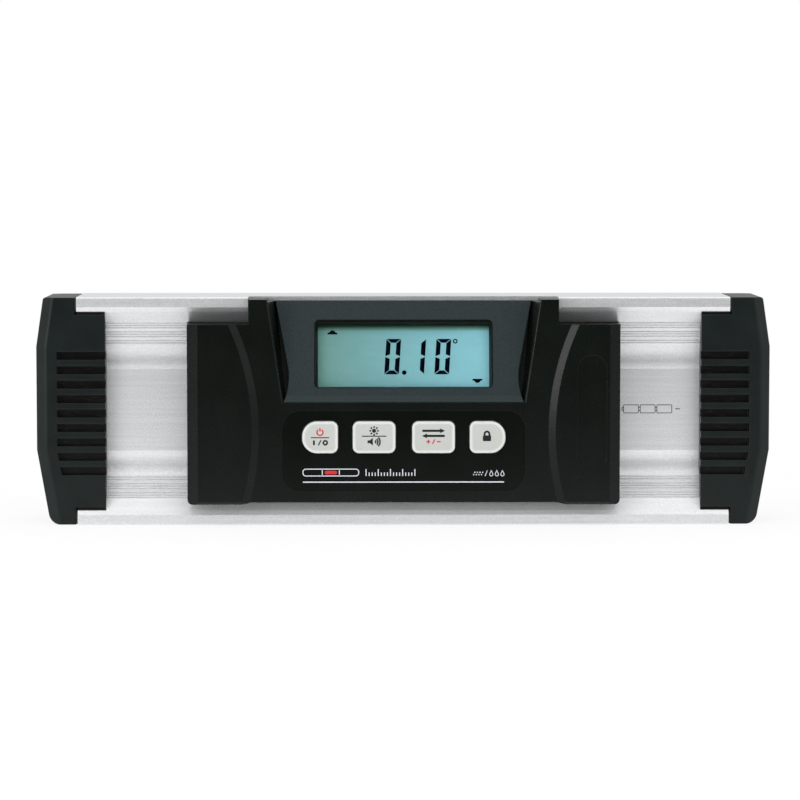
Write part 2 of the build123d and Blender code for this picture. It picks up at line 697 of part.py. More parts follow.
# Aluminium profile: cavity, V groove, magnet bores, housing seat, ear notch, window and screw holes
body_section = profile_section(grooved=True)
body_groove = v_groove_section(0)
with BuildPart() as body_profile:
    with BuildSketch(across(-body_end)):
        add(body_section)
        with Locations((0, mid_height)):
            Rectangle(2 * cavity_half, cavity_height, mode=Mode.SUBTRACT)
        with Locations(*cap_screw_places):
            Rectangle(cap_post, cap_post)
            RegularPolygon(CAP_SCREW_DIAMETER / 2 + SCREW_FIT, SCREW_SIDES, mode=Mode.SUBTRACT)
        add(body_groove, mode=Mode.SUBTRACT)
    extrude(amount=BODY_LENGTH)
    with BuildSketch(Plane.XY):
        with GridLocations(MAGNET_PITCH, 0, MAGNET_COUNT, 1):
            RegularPolygon(MAGNET_DIAMETER / 2 + MAGNET_CLEARANCE, ROUND_SIDES)
    extrude(amount=V_GROOVE_DEPTH + MAGNET_THICKNESS, mode=Mode.SUBTRACT)
    with BuildSketch(front(seat)):
        with Locations((0, wing_bottom - COVER_SIDE_CLEARANCE)):
            Rectangle(
                COVER_LENGTH + 2 * COVER_SIDE_CLEARANCE,
                wing_top - wing_bottom + 2 * COVER_SIDE_CLEARANCE,
                align=(Align.CENTER, Align.MIN),
            )
        with Locations((0, wing_top)):
            Rectangle(
                EAR_SPAN + 2 * COVER_SIDE_CLEARANCE,
                BODY_HEIGHT - wing_top,
                align=(Align.CENTER, Align.MIN),
            )
    extrude(amount=BODY_DEPTH, mode=Mode.SUBTRACT)
    with BuildSketch(front(tube_radius)):
        with Locations((0, mid_height)):
            Rectangle(2 * window_half, window_height)
    extrude(amount=BODY_DEPTH, mode=Mode.SUBTRACT)
    with BuildSketch(front(-web_half)):
        with Locations(*cover_screw_places):
            RegularPolygon(COVER_SCREW_DIAMETER / 2 + SCREW_PASS, SCREW_SIDES)
    extrude(amount=2 * web_half, mode=Mode.SUBTRACT)
    with BuildSketch(front(-web_half)):
        with Locations(*cover_screw_places):
            RegularPolygon(COVER_SCREW_HEAD_DIAMETER / 2 + SCREW_PASS, ROUND_SIDES)
    extrude(amount=COVER_SCREW_HEAD_HEIGHT, mode=Mode.SUBTRACT)
keep(body_profile.part, "body_profile")

# Magnets pressed in above the root of the V groove
with BuildPart() as base_magnets:
    with BuildSketch(Plane.XY.offset(V_GROOVE_DEPTH)):
        with GridLocations(MAGNET_PITCH, 0, MAGNET_COUNT, 1):
            RegularPolygon(MAGNET_DIAMETER / 2, ROUND_SIDES)
    extrude(amount=MAGNET_THICKNESS)
keep(base_magnets.part, "base_magnets")

# End caps: the right one has the battery port
keep(end_cap(has_port=True), "right_end_cap")
keep(mirror(end_cap(has_port=False), about=Plane.YZ), "left_end_cap")

# Flat seals between the ends of the profile and the caps
gasket_section = offset(profile_section(grooved=False), -END_GASKET_INSET, kind=Kind.INTERSECTION)
gasket_groove = v_groove_section(END_GASKET_INSET)
with BuildPart() as end_gasket:
    with BuildSketch(across(body_end)):
        add(gasket_section)
        with Locations((0, mid_height)):
            Rectangle(2 * cavity_half, cavity_height, mode=Mode.SUBTRACT)
            RegularPolygon(tube_flange_radius + TUBE_CLEARANCE, ROUND_SIDES, mode=Mode.SUBTRACT)
        add(gasket_groove, mode=Mode.SUBTRACT)
    extrude(amount=END_GASKET_THICKNESS)
keep(end_gasket.part, "right_end_gasket")
keep(mirror(end_gasket.part, about=Plane.YZ), "left_end_gasket")

# Screws that hold the end caps
cap_screws = cheese_head_screws(
    across(cap_shoulder + CAP_SCREW_SEAT),
    cap_screw_places,
    CAP_SCREW_DIAMETER,
    CAP_SCREW_LENGTH,
    CAP_SCREW_HEAD_DIAMETER,
    CAP_SCREW_HEAD_HEIGHT,
)
keep(cap_screws, "right_cap_screws")
keep(mirror(cap_screws, about=Plane.YZ), "left_cap_screws")

# Recess that takes the display bezel: drafted sides, and a floor parallel to the panel
recess_space = drafted_recess(0)
with BuildPart() as display_recess:
    add(recess_space)
    split(bisect_by=recess_floor, keep=Keep.TOP)

# Walls and floor of that recess, inside the housing
cover_outline = cover_section()
recess_outline = trapezium(recess_low_half, recess_high_half, recess_bottom, BODY_HEIGHT)
recess_wall_outline = offset(recess_outline, RECESS_WALL, kind=Kind.INTERSECTION)
with BuildPart() as recess_walls:
    with BuildSketch(front(cover_back)):
        add(recess_wall_outline)
        add(cover_outline, mode=Mode.INTERSECT)
    extrude(amount=cover_face - cover_back)
    split(bisect_by=recess_floor_back, keep=Keep.TOP)

# Raised pad on the right wing, whose inner edge is a bevelled arc
with BuildPart() as wing_pad:
    with BuildSketch(front(cover_face)):
        with Locations((PAD_SPACING / 2 + PAD_ARC_RADIUS, mid_height - PAD_ARC_DROP)):
            Circle(PAD_ARC_RADIUS + PAD_BEVEL / 2)
    extrude(amount=PAD_RISE, taper=degrees(atan2(PAD_BEVEL, PAD_RISE)))
    with BuildSketch(front(cover_face)):
        add(cover_outline)
    extrude(amount=PAD_RISE, mode=Mode.INTERSECT)

# Front housing: moulded shell with pads, display recess, keypad openings and screw bosses
cover_hollow = offset(cover_outline, -COVER_WALL, kind=Kind.INTERSECTION)
key_openings = key_boxes(KEY_CLEARANCE)
with BuildPart() as front_cover:
    with BuildSketch(front(cover_back)):
        add(cover_outline)
    extrude(amount=cover_face - cover_back)
    add(wing_pad.part)
    add(mirror(wing_pad.part, about=Plane.YZ, mode=Mode.PRIVATE))
    with BuildSketch(Plane.XY):
        with BuildLine():
            Polyline(
                (cover_half - WING_CHAMFER_WIDTH, -pad_face),
                (cover_half, -pad_face),
                (cover_half, -pad_face + WING_CHAMFER_DEPTH),
                close=True,
            )
        make_face()
        mirror(about=Plane.YZ)
    extrude(amount=BODY_HEIGHT, mode=Mode.SUBTRACT)
    with BuildSketch(Plane.YZ):
        with BuildLine():
            Polyline(
                (-pad_face, wing_bottom),
                (-pad_face + WING_EDGE, wing_bottom),
                (-pad_face, wing_bottom + WING_EDGE),
                close=True,
            )
        make_face()
    extrude(amount=cover_half, both=True, mode=Mode.SUBTRACT)
    with BuildSketch(front(cover_back)):
        add(cover_hollow)
    extrude(amount=cover_inner - cover_back, mode=Mode.SUBTRACT)
    add(recess_walls.part)
    add(display_recess.part, mode=Mode.SUBTRACT)
    with BuildSketch(recess_floor):
        with Locations((0, glass_middle)):
            Rectangle(glass_width + 2 * GLASS_CLEARANCE, glass_height + 2 * GLASS_CLEARANCE)
    extrude(amount=-RECESS_FLOOR, mode=Mode.SUBTRACT)
    with BuildSketch(front(cover_face - OVERLAY_THICKNESS)):
        with Locations((0, overlay_middle)):
            RectangleRounded(OVERLAY_LENGTH, OVERLAY_HEIGHT, OVERLAY_CORNER)
    extrude(amount=OVERLAY_THICKNESS, mode=Mode.SUBTRACT)
    with BuildSketch(front(cover_inner)):
        add(key_openings)
    extrude(amount=COVER_FRONT_WALL, mode=Mode.SUBTRACT)
    with BuildSketch(front(pad_face - NAME_RECESS_DEPTH)):
        with Locations((cover_half - NAME_RECESS_INSET, mid_height)):
            SlotOverall(NAME_RECESS_HEIGHT, NAME_RECESS_WIDTH, rotation=90)
    extrude(amount=NAME_RECESS_DEPTH, mode=Mode.SUBTRACT)
    with BuildSketch(front(seat)):
        with Locations(*cover_screw_places):
            Rectangle(cover_post, cover_post)
    extrude(amount=cover_inner - seat)
    with BuildSketch(front(seat)):
        with Locations(*cover_screw_places):
            RegularPolygon(COVER_SCREW_DIAMETER / 2 + SCREW_FIT, SCREW_SIDES)
    extrude(amount=COVER_SCREW_BITE, mode=Mode.SUBTRACT)
    for places, post_end in ((main_board_places, board_front), (key_board_places, key_board_front)):
        with BuildSketch(front(post_end)):
            with Locations(*places):
                Rectangle(board_post, board_post)
        extrude(amount=cover_inner - post_end)
        with BuildSketch(front(post_end)):
            with Locations(*places):
                RegularPolygon(BOARD_SCREW_DIAMETER / 2 + SCREW_FIT, SCREW_SIDES)
        extrude(amount=BOARD_SCREW_BITE, mode=Mode.SUBTRACT)
    rims = front_cover.edges().filter_by(GeomType.LINE).filter_by_position(Axis.Z, crease, BODY_HEIGHT)
    rims = rims.filter_by_position(Axis.Y, -cover_face - RECESS_CLEARANCE, -cover_face + RECESS_CLEARANCE)
    fillet(rims.sort_by(SortBy.LENGTH)[-2:], RECESS_EDGE)
keep(front_cover.part, "front_cover")

# Seal under the rim of the housing
cover_gasket_outline = offset(cover_outline, -COVER_GASKET_INSET, kind=Kind.INTERSECTION)
with BuildPart() as cover_gasket:
    with BuildSketch(front(seat)):
        add(cover_gasket_outline)
        add(cover_hollow, mode=Mode.SUBTRACT)
    extrude(amount=COVER_GASKET_THICKNESS)
keep(cover_gasket.part, "cover_gasket")

# Screws from the back of the profile into the housing, with their heads sunk flush
cover_screws = cheese_head_screws(
    behind(COVER_SCREW_HEAD_HEIGHT - web_half),
    cover_screw_places,
    COVER_SCREW_DIAMETER,
    web_half - COVER_SCREW_HEAD_HEIGHT + seat + COVER_SCREW_BITE,
    COVER_SCREW_HEAD_DIAMETER,
    COVER_SCREW_HEAD_HEIGHT,
)
keep(cover_screws, "cover_screws")

# Satin bezel: tilted panel with the sight opening, and a lip that turns out to the keypad
bezel_space = drafted_recess(RECESS_CLEARANCE)
floor_slope = tan(panel_tilt)
floor_front = crease_front - BEZEL_THICKNESS / cos(panel_tilt)
with BuildPart() as display_bezel:
    with BuildSketch(Plane.YZ):
        with BuildLine():
            Polyline(
                (-floor_front - (crease - bezel_bottom) * floor_slope, bezel_bottom),
                (-cover_face + BEZEL_LIP_SETBACK, bezel_bottom),
                (-crease_front, crease),
                (-bezel_top_front, bezel_top),
                (-floor_front + (bezel_top - crease) * floor_slope, bezel_top),
                close=True,
            )
        make_face()
    extrude(amount=BEZEL_TOP_WIDTH, both=True)
    with BuildSketch(front(cover_back)) as bezel_outline:
        with BuildLine():
            Polyline(
                (-BEZEL_LIP_WIDTH / 2, bezel_bottom),
                (BEZEL_LIP_WIDTH / 2, bezel_bottom),
                (BEZEL_WAIST_WIDTH / 2, bezel_waist),
                (BEZEL_TOP_WIDTH / 2, bezel_top),
                (-BEZEL_TOP_WIDTH / 2, bezel_top),
                (-BEZEL_WAIST_WIDTH / 2, bezel_waist),
                close=True,
            )
        make_face()
        fillet(bezel_outline.vertices().group_by(Axis.Y)[1], waist_round)
    extrude(amount=cover_face - cover_back, mode=Mode.INTERSECT)
    add(bezel_space, mode=Mode.INTERSECT)
    with BuildSketch(panel):
        with Locations((0, sight_middle)):
            RectangleRounded(SIGHT_WIDTH, sight_height, SIGHT_CORNER)
    extrude(amount=-BEZEL_THICKNESS, taper=SIGHT_DRAFT, mode=Mode.SUBTRACT)
keep(display_bezel.part, "display_bezel")

# Clear pane behind the bezel
with BuildPart() as display_window:
    with BuildSketch(recess_floor):
        with Locations((0, glass_middle)):
            Rectangle(glass_width, glass_height)
    extrude(amount=-PANE_THICKNESS)
keep(display_window.part, "display_window")

# Liquid-crystal glass behind the pane
with BuildPart() as lcd_panel:
    with BuildSketch(lcd_front):
        with Locations((0, glass_middle)):
            Rectangle(glass_width, glass_height)
    extrude(amount=-LCD_THICKNESS)
keep(lcd_panel.part, "lcd_panel")

# Backlight plate behind the glass
with BuildPart() as lcd_backlight:
    with BuildSketch(lcd_back):
        with Locations((0, (backlight_low + backlight_high) / 2)):
            Rectangle(glass_width - 2 * BACKLIGHT_INSET_SIDE, backlight_high - backlight_low)
    extrude(amount=-BACKLIGHT_THICKNESS)
keep(lcd_backlight.part, "lcd_backlight")

# Clamps that hook over the two short sides of the glass
clamp_place = glass_width / 2 + GLASS_CLEARANCE
clamp_stand = PANE_THICKNESS + LCD_THICKNESS + CLAMP_THICKNESS - RECESS_FLOOR
with BuildPart() as lcd_clamps:
    for side in (-1, 1):
        with BuildSketch(recess_floor_back):
            with Locations((side * (clamp_place + CLAMP_FOOT / 2), glass_middle)):
                Rectangle(CLAMP_FOOT, CLAMP_LENGTH)
        extrude(amount=-clamp_stand)
        with BuildSketch(lcd_back):
            with Locations((side * (clamp_place - CLAMP_REACH / 2), glass_middle)):
                Rectangle(CLAMP_REACH, CLAMP_LENGTH)
        extrude(amount=-CLAMP_THICKNESS)
keep(lcd_clamps.part, "lcd_clamps")

# Solder pins from the lower edge of the glass to the main board
with BuildPart() as lcd_pins:
    with BuildSketch(lcd_back):
        with Locations((0, glass_low + PIN_EDGE)):
            with GridLocations(PIN_PITCH, 0, PIN_COUNT, 1):
                Rectangle(PIN_SIZE, PIN_SIZE)
    extrude(amount=-cover_face)
    split(bisect_by=front(board_front), keep=Keep.TOP)
keep(lcd_pins.part, "lcd_pins")

# Printed overlay let into the front of the housing
key_holes = key_sections(KEY_CLEARANCE)
with BuildPart() as keypad_overlay:
    with BuildSketch(front(cover_face - OVERLAY_THICKNESS)):
        with Locations((0, overlay_middle)):
            RectangleRounded(
                OVERLAY_LENGTH - 2 * OVERLAY_CLEARANCE,
                OVERLAY_HEIGHT - 2 * OVERLAY_CLEARANCE,
                OVERLAY_CORNER - OVERLAY_CLEARANCE,
            )
        add(key_holes, mode=Mode.SUBTRACT)
    extrude(amount=OVERLAY_THICKNESS)
keep(keypad_overlay.part, "keypad_overlay")

# Keys: a dished top with a raised rim, and a collar that stops behind the housing wall
for label, place, width, left_corner, right_corner in KEYS:
    key_outline = key_section(place, width, left_corner, right_corner)
    key_dish = offset(key_outline, -KEY_RIM)
    with BuildPart() as key:
        with BuildSketch(front(key_back)):
            add(key_outline)
        extrude(amount=key_top - key_back)
        chamfer(key.faces().sort_by(Axis.Y)[0].edges(), KEY_EDGE)
        with BuildSketch(front(key_top - KEY_DISH)):
            add(key_dish)
        extrude(amount=KEY_DISH, mode=Mode.SUBTRACT)
        with BuildSketch(front(key_back)):
            with Locations((place, key_row)):
                Rectangle(width + 2 * KEY_COLLAR, KEY_HEIGHT + 2 * KEY_COLLAR)
        extrude(amount=KEY_COLLAR_THICKNESS)
    keep(key.part, label)

# Silicone mat round the key collars, between the housing wall and the key board
mat_openings = key_boxes(KEY_COLLAR + KEY_CLEARANCE)
with BuildPart() as keypad_mat:
    with BuildSketch(front(key_board_front)):
        with Locations((0, key_row)):
            Rectangle(2 * mat_half, mat_height)
        add(mat_openings, mode=Mode.SUBTRACT)
    extrude(amount=cover_inner - key_board_front)
keep(keypad_mat.part, "keypad_mat")

# Key board with the contact pads, screwed to the housing at both ends
with BuildPart() as key_board:
    with BuildSketch(front(key_board_back)):
        with Locations((0, key_row)):
            Rectangle(2 * key_board_half, mat_height)
        with Locations(*key_board_places):
            RegularPolygon(BOARD_SCREW_DIAMETER / 2 + SCREW_FIT, SCREW_SIDES, mode=Mode.SUBTRACT)
    extrude(amount=KEY_BOARD_THICKNESS)
keep(key_board.part, "key_board")

key_board_screws = cheese_head_screws(
    behind(key_board_back),
    key_board_places,
    BOARD_SCREW_DIAMETER,
    KEY_BOARD_THICKNESS + BOARD_SCREW_BITE,
    BOARD_SCREW_HEAD_DIAMETER,
    BOARD_SCREW_HEAD_HEIGHT,
)
keep(key_board_screws, "key_board_screws")

# Main board in the window of the web, screwed to the housing from behind
with BuildPart() as main_board:
    with BuildSketch(front(board_back)):
        with Locations((0, mid_height)):
            Rectangle(2 * board_half, board_height)
        with Locations(*main_board_places):
            RegularPolygon(BOARD_SCREW_DIAMETER / 2 + SCREW_FIT, SCREW_SIDES, mode=Mode.SUBTRACT)
    extrude(amount=MAIN_BOARD_THICKNESS)
keep(main_board.part, "main_board")

main_board_screws = cheese_head_screws(
    behind(board_back),
    main_board_places,
    BOARD_SCREW_DIAMETER,
    MAIN_BOARD_THICKNESS + BOARD_SCREW_BITE,
    BOARD_SCREW_HEAD_DIAMETER,
    BOARD_SCREW_HEAD_HEIGHT,
)
keep(main_board_screws, "main_board_screws")

# Connector between the two boards
with BuildPart() as board_connector:
    with BuildSketch(front(board_front)):
        with Locations((0, key_row - CONNECTOR_DROP)):
            Rectangle(CONNECTOR_LENGTH, CONNECTOR_WIDTH)
    extrude(amount=key_board_back - board_front)
keep(board_connector.part, "board_connector")

# Components on the main board
with BuildPart() as tilt_sensor:
    with BuildSketch(front(board_front)):
        with Locations((SENSOR_PLACE, parts_row)):
            Rectangle(SENSOR_SIZE, SENSOR_SIZE)
    extrude(amount=SENSOR_HEIGHT)
keep(tilt_sensor.part, "tilt_sensor")

with BuildPart() as processor_chip:
    with BuildSketch(front(board_front)):
        with Locations((CHIP_PLACE, parts_row)):
            Rectangle(CHIP_SIZE, CHIP_SIZE)
    extrude(amount=CHIP_HEIGHT)
keep(processor_chip.part, "processor_chip")

with BuildPart() as buzzer:
    with BuildSketch(front(board_front)):
        with Locations((BUZZER_PLACE, parts_row)):
            RegularPolygon(BUZZER_DIAMETER / 2, ROUND_SIDES)
    extrude(amount=BUZZER_HEIGHT)
keep(buzzer.part, "buzzer")

# Battery tube, clamped by its flange between the profile and the right end cap
with BuildPart() as battery_tube:
    with BuildSketch(across(cells_left)):
        with Locations((0, mid_height)):
            RegularPolygon(tube_radius, ROUND_SIDES)
    extrude(amount=tube_flange_end - cells_left)
    with BuildSketch(across(body_end)):
        with Locations((0, mid_height)):
            RegularPolygon(tube_flange_radius, ROUND_SIDES)
    extrude(amount=TUBE_FLANGE_THICKNESS)
    with BuildSketch(across(cells_left)):
        with Locations((0, mid_height)):
            RegularPolygon(tube_bore, ROUND_SIDES)
    extrude(amount=tube_flange_end - cells_left, mode=Mode.SUBTRACT)
keep(battery_tube.part, "battery_tube")

# Three cells in line, positive ends to the left
cell_ends = [cells_right - cell * cell_pitch for cell in range(CELL_COUNT)]
with BuildPart() as battery_cells:
    with BuildSketch(*[across(end) for end in cell_ends]):
        with Locations((0, mid_height)):
            RegularPolygon(CELL_DIAMETER / 2, ROUND_SIDES)
    extrude(amount=CELL_NUB_LENGTH - CELL_LENGTH)
    with BuildSketch(*[across(end) for end in cell_ends]):
        with Locations((0, mid_height)):
            RegularPolygon(CELL_NUB_DIAMETER / 2, SCREW_SIDES)
    extrude(amount=-CELL_LENGTH)
keep(battery_cells.part, "battery_cells")

# Positive contact plate at the inner end of the tube, with a tab to the main board
with BuildPart() as battery_positive_contact:
    with BuildSketch(across(cells_left)):
        with Locations((0, mid_height)):
            RegularPolygon(tube_radius - CONTACT_RIM, ROUND_SIDES)
            Rectangle(board_back, CONTACT_TAB_WIDTH, align=(Align.MAX, Align.CENTER))
    extrude(amount=-CONTACT_THICKNESS)
keep(battery_positive_contact.part, "battery_positive_contact")

# Return strip along the top of the tube, with a tab to the main board
with BuildPart() as battery_negative_strip:
    with BuildSketch(Plane.XY.offset(mid_height + tube_radius)):
        with Locations(((strip_start + strip_end) / 2, 0)):
            Rectangle(strip_end - strip_start, CONTACT_TAB_WIDTH)
        with Locations((strip_start, 0)):
            Rectangle(CONTACT_TAB_WIDTH, board_back, align=(Align.MIN, Align.MAX))
    extrude(amount=STRIP_THICKNESS)
keep(battery_negative_strip.part, "battery_negative_strip")

# Screw-in battery cap with a coin slot and a groove for its seal
with BuildPart() as battery_cap:
    with BuildSketch(across(plug_end)):
        with Locations((0, mid_height)):
            RegularPolygon(plug_radius, ROUND_SIDES)
    extrude(amount=battery_head - plug_end)
    with BuildSketch(across(battery_head)):
        with Locations((0, mid_height)):
            Circle(BATTERY_CAP_HEAD_DIAMETER / 2)
    extrude(amount=BATTERY_CAP_HEAD_THICKNESS)
    with BuildSketch(across(seal_place - SEAL_GROOVE_WIDTH / 2)):
        with Locations((0, mid_height)):
            RegularPolygon(plug_radius, ROUND_SIDES)
            RegularPolygon(seal_floor, ROUND_SIDES, mode=Mode.SUBTRACT)
    extrude(amount=SEAL_GROOVE_WIDTH, mode=Mode.SUBTRACT)
    with BuildSketch(across(cap_reach - COIN_SLOT_DEPTH)):
        with Locations((0, mid_height)):
            Rectangle(COIN_SLOT_LENGTH, COIN_SLOT_WIDTH)
    extrude(amount=COIN_SLOT_DEPTH, mode=Mode.SUBTRACT)
keep(battery_cap.part, "battery_cap")

# Square-section ring seal in the groove of the battery cap
with BuildPart() as battery_cap_seal:
    with BuildSketch(across(seal_place - SEAL_SECTION / 2)):
        with Locations((0, mid_height)):
            RegularPolygon(seal_outer, ROUND_SIDES)
            RegularPolygon(seal_outer - SEAL_SECTION, ROUND_SIDES, mode=Mode.SUBTRACT)
    extrude(amount=SEAL_SECTION)
keep(battery_cap_seal.part, "battery_cap_seal")

# Folded contact spring on the inner end of the battery cap
spring_tip = plug_end - SPRING_HEIGHT
with BuildPart() as battery_contact_spring:
    with BuildSketch(Plane.XZ):
        with BuildLine():
            Polyline(
                (plug_end, mid_height - SPRING_LENGTH / 2),
                (plug_end, mid_height + SPRING_LENGTH / 2),
                (plug_end - SPRING_SHEET, mid_height + SPRING_LENGTH / 2),
                (plug_end - SPRING_SHEET, mid_height - SPRING_LENGTH / 2 + 2 * SPRING_SHEET),
                (spring_tip + SPRING_SHEET, mid_height),
                (spring_tip + SPRING_SHEET, mid_height + SPRING_TIP),
                (spring_tip, mid_height + SPRING_TIP),
                (spring_tip, mid_height - SPRING_SHEET),
                (plug_end - SPRING_SHEET, mid_height - SPRING_LENGTH / 2),
                close=True,
            )
        make_face()
    extrude(amount=SPRING_WIDTH / 2, both=True)
keep(battery_contact_spring.part, "battery_contact_spring")
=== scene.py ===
"""Looks of a digital spirit level: finishes, prints, display marks, screws, studio and camera, in metres."""

import json
import math

import bmesh
import bpy
from mathutils import Matrix, Vector


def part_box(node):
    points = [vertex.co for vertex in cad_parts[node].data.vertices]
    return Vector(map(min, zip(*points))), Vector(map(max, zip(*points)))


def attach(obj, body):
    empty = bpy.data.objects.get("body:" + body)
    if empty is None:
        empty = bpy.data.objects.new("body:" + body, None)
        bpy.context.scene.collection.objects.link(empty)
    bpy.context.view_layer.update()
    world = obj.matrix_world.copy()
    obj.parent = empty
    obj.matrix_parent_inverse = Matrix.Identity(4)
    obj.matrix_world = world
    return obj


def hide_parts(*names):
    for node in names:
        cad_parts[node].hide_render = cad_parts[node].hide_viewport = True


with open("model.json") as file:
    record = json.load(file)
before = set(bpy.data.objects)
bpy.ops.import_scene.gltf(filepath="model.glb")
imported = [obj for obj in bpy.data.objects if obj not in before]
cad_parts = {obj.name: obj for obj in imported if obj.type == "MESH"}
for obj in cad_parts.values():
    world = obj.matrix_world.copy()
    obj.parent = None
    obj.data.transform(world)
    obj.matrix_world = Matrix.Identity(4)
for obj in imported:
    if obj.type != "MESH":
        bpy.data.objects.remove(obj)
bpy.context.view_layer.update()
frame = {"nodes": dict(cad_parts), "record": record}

MM = 0.001
INWARD = Vector((0, 1, 0))
WHITE = (1, 1, 1)

# Camera of the photograph
CAMERA_PLACE = (-0.0130, -0.9916, 0.1146)
CAMERA_TURN = 0.0122
CAMERA_PITCH = 0.0778
SENSOR = 36.0
LENS = 143.9

# Profile: grain of the blasting and of the drawing, tones, roughness, depth of the grain and rounding of the
# edges, heights of the matt lower slope, its fade and tone, and how metallic the faces and the slope are
PROFILE_SPECKLE = 0.42 * MM
PROFILE_DRAWN = 0.9 * MM
DRAWN_STRETCH = (0.02, 1, 1)
DRAWN_SHARE = 0.35
PROFILE_TONES = ((0.32, (0.78, 0.79, 0.80)), (0.68, (0.95, 0.96, 0.97)))
PROFILE_ROUGHNESS = (0.36, 0.46)
PROFILE_RELIEF = (0.1 * MM, 0.1 * MM)
LOW_SLOPE = (3.15 * MM, 7.9 * MM)
SLOPE_FADE = 0.1 * MM
SLOPE_TONE = (0.88, 0.88, 0.88, 1)
PROFILE_METAL = (0.8, 0.1)

# End caps: grain and clouds, tones, and the dust with painted shade on the slot floors, which lies nearer the
# middle than the slots' outer ends and further back than the fronts of their floors
CAP_GRAIN = 0.35 * MM
CAP_CLOUDS = 9 * MM
CAP_TONES = ((0.3, (0.004, 0.0075, 0.007)), (0.7, (0.0075, 0.0115, 0.011)))
CAP_ROUGHNESS = (0.3, 0.4)
CAP_RELIEF = (0.012 * MM, 0.7 * MM)
SLOT_REACH = 106.3 * MM
SLOT_REACH_FADE = 0.2 * MM
SLOT_FLOOR = -12.6 * MM
SLOT_FLOOR_FADE = 0.3 * MM
DUST_GRAIN = 0.8 * MM
DUST_STRETCH = (0.4, 1, 1.6)
DUST_AND_SHADE_TONES = ((0.52, (0.0008, 0.0016, 0.0010)), (0.75, (0.014, 0.015, 0.006)))

# Bezel: a height at which its panel is met above the sight, the finish of the panel, the black of the painted
# shade on faces sunk below the panel, how far below it that shade is full and begins, the sight's corner, how
# far from the middle and from the panel its rim can lie, and how far the painted shade round the sight reaches
# past its sides, below it and above it, in millimetres
BEZEL_FACE = 66.0 * MM
BEZEL_GRAIN = 0.4 * MM
BEZEL_TONES = ((0.3, (0.017, 0.025, 0.027)), (0.7, (0.027, 0.037, 0.040)))
BEZEL_SHADE_BLACK = (0.002, 0.003, 0.002, 1)
BEZEL_ROUGHNESS = (0.34, 0.44)
BEZEL_RELIEF = (0.012 * MM, 0.4 * MM)
BEZEL_SHADE_FULL = 0.2 * MM
BEZEL_SHADE_START = 0.02 * MM
SIGHT_CORNER = 1.2
SIGHT_REACH = 30 * MM
SIGHT_FLATNESS = 0.01 * MM
SIGHT_SHADE_REACH = (0.35, 0.05, 0.9)

# Keys: finish, with the depths between which the dish turns greyer than the rim, the rim's lighter tone being a
# painted highlight
KEY_GRAIN = 0.4 * MM
KEY_GRAIN_SHARE = 0.06
KEY_HIGHLIGHT_DEPTHS = (-22.02 * MM, -21.9 * MM)
KEY_HIGHLIGHT_TONES = ((0.0, (0.62, 0.63, 0.61)), (0.6, (0.49, 0.50, 0.48)), (1.0, (0.46, 0.47, 0.45)))
KEY_ROUGHNESS = (0.28, 0.36)
KEY_RELIEF = (0.004 * MM, 0.1 * MM)

# Keys: collar round the foot, corners at the left and right, and rings over the crown as how far in from the
# outline and how far down from the crest, in millimetres
KEY_COLLAR = 0.8
KEY_COLLAR_THICKNESS = 1.0
KEY_COLLAR_CORNER = 0.3
KEY_CORNERS = {"power_key": (4.6, 2.0), "light_key": (2.0, 2.0), "mode_key": (2.0, 2.0), "hold_key": (2.0, 4.6)}
KEY_CROWN = ((0.0, 0.5), (0.03, 0.3), (0.1, 0.14), (0.22, 0.04), (0.36, 0.0), (0.52, 0.03), (0.75, 0.11),
             (1.05, 0.18), (1.5, 0.23), (2.0, 0.25))
KEY_STEPS = 10
KEY_SMOOTH = math.radians(35)

# Liquid crystal and window: tints from left to right, grain, tones of a painted shade from below the top edge up
# into it
CRYSTAL_HALF = 26 * MM
CRYSTAL_TINTS = ((0.0, (0.185, 0.375, 0.335)), (0.5, (0.245, 0.535, 0.575)), (1.0, (0.310, 0.680, 0.770)))
CRYSTAL_GRAIN = 0.45 * MM
CRYSTAL_PAPER = ((0.3, (0.93, 0.93, 0.93)), (0.7, (1.0, 1.0, 1.0)))
CRYSTAL_ROUGHNESS = (0.45, 0.55)
TOP_SHADE_FADE = (8.3 * MM, 10.1 * MM)
TOP_SHADE_TONES = ((0.0, WHITE), (0.35, (0.66, 0.70, 0.60)), (0.7, (0.30, 0.34, 0.22)), (1.0, (0.12, 0.14, 0.06)))
WINDOW_MARKS = 6 * MM
WINDOW_STRETCH = (1, 1, 4)
WINDOW_TONES = ((0.3, (0.95, 0.97, 0.97)), (0.7, WHITE))
WINDOW_ROUGHNESS = (0.0, 0.03)
PANE_GAP = 0.08 * MM
PANE_EDGE = 0.15 * MM

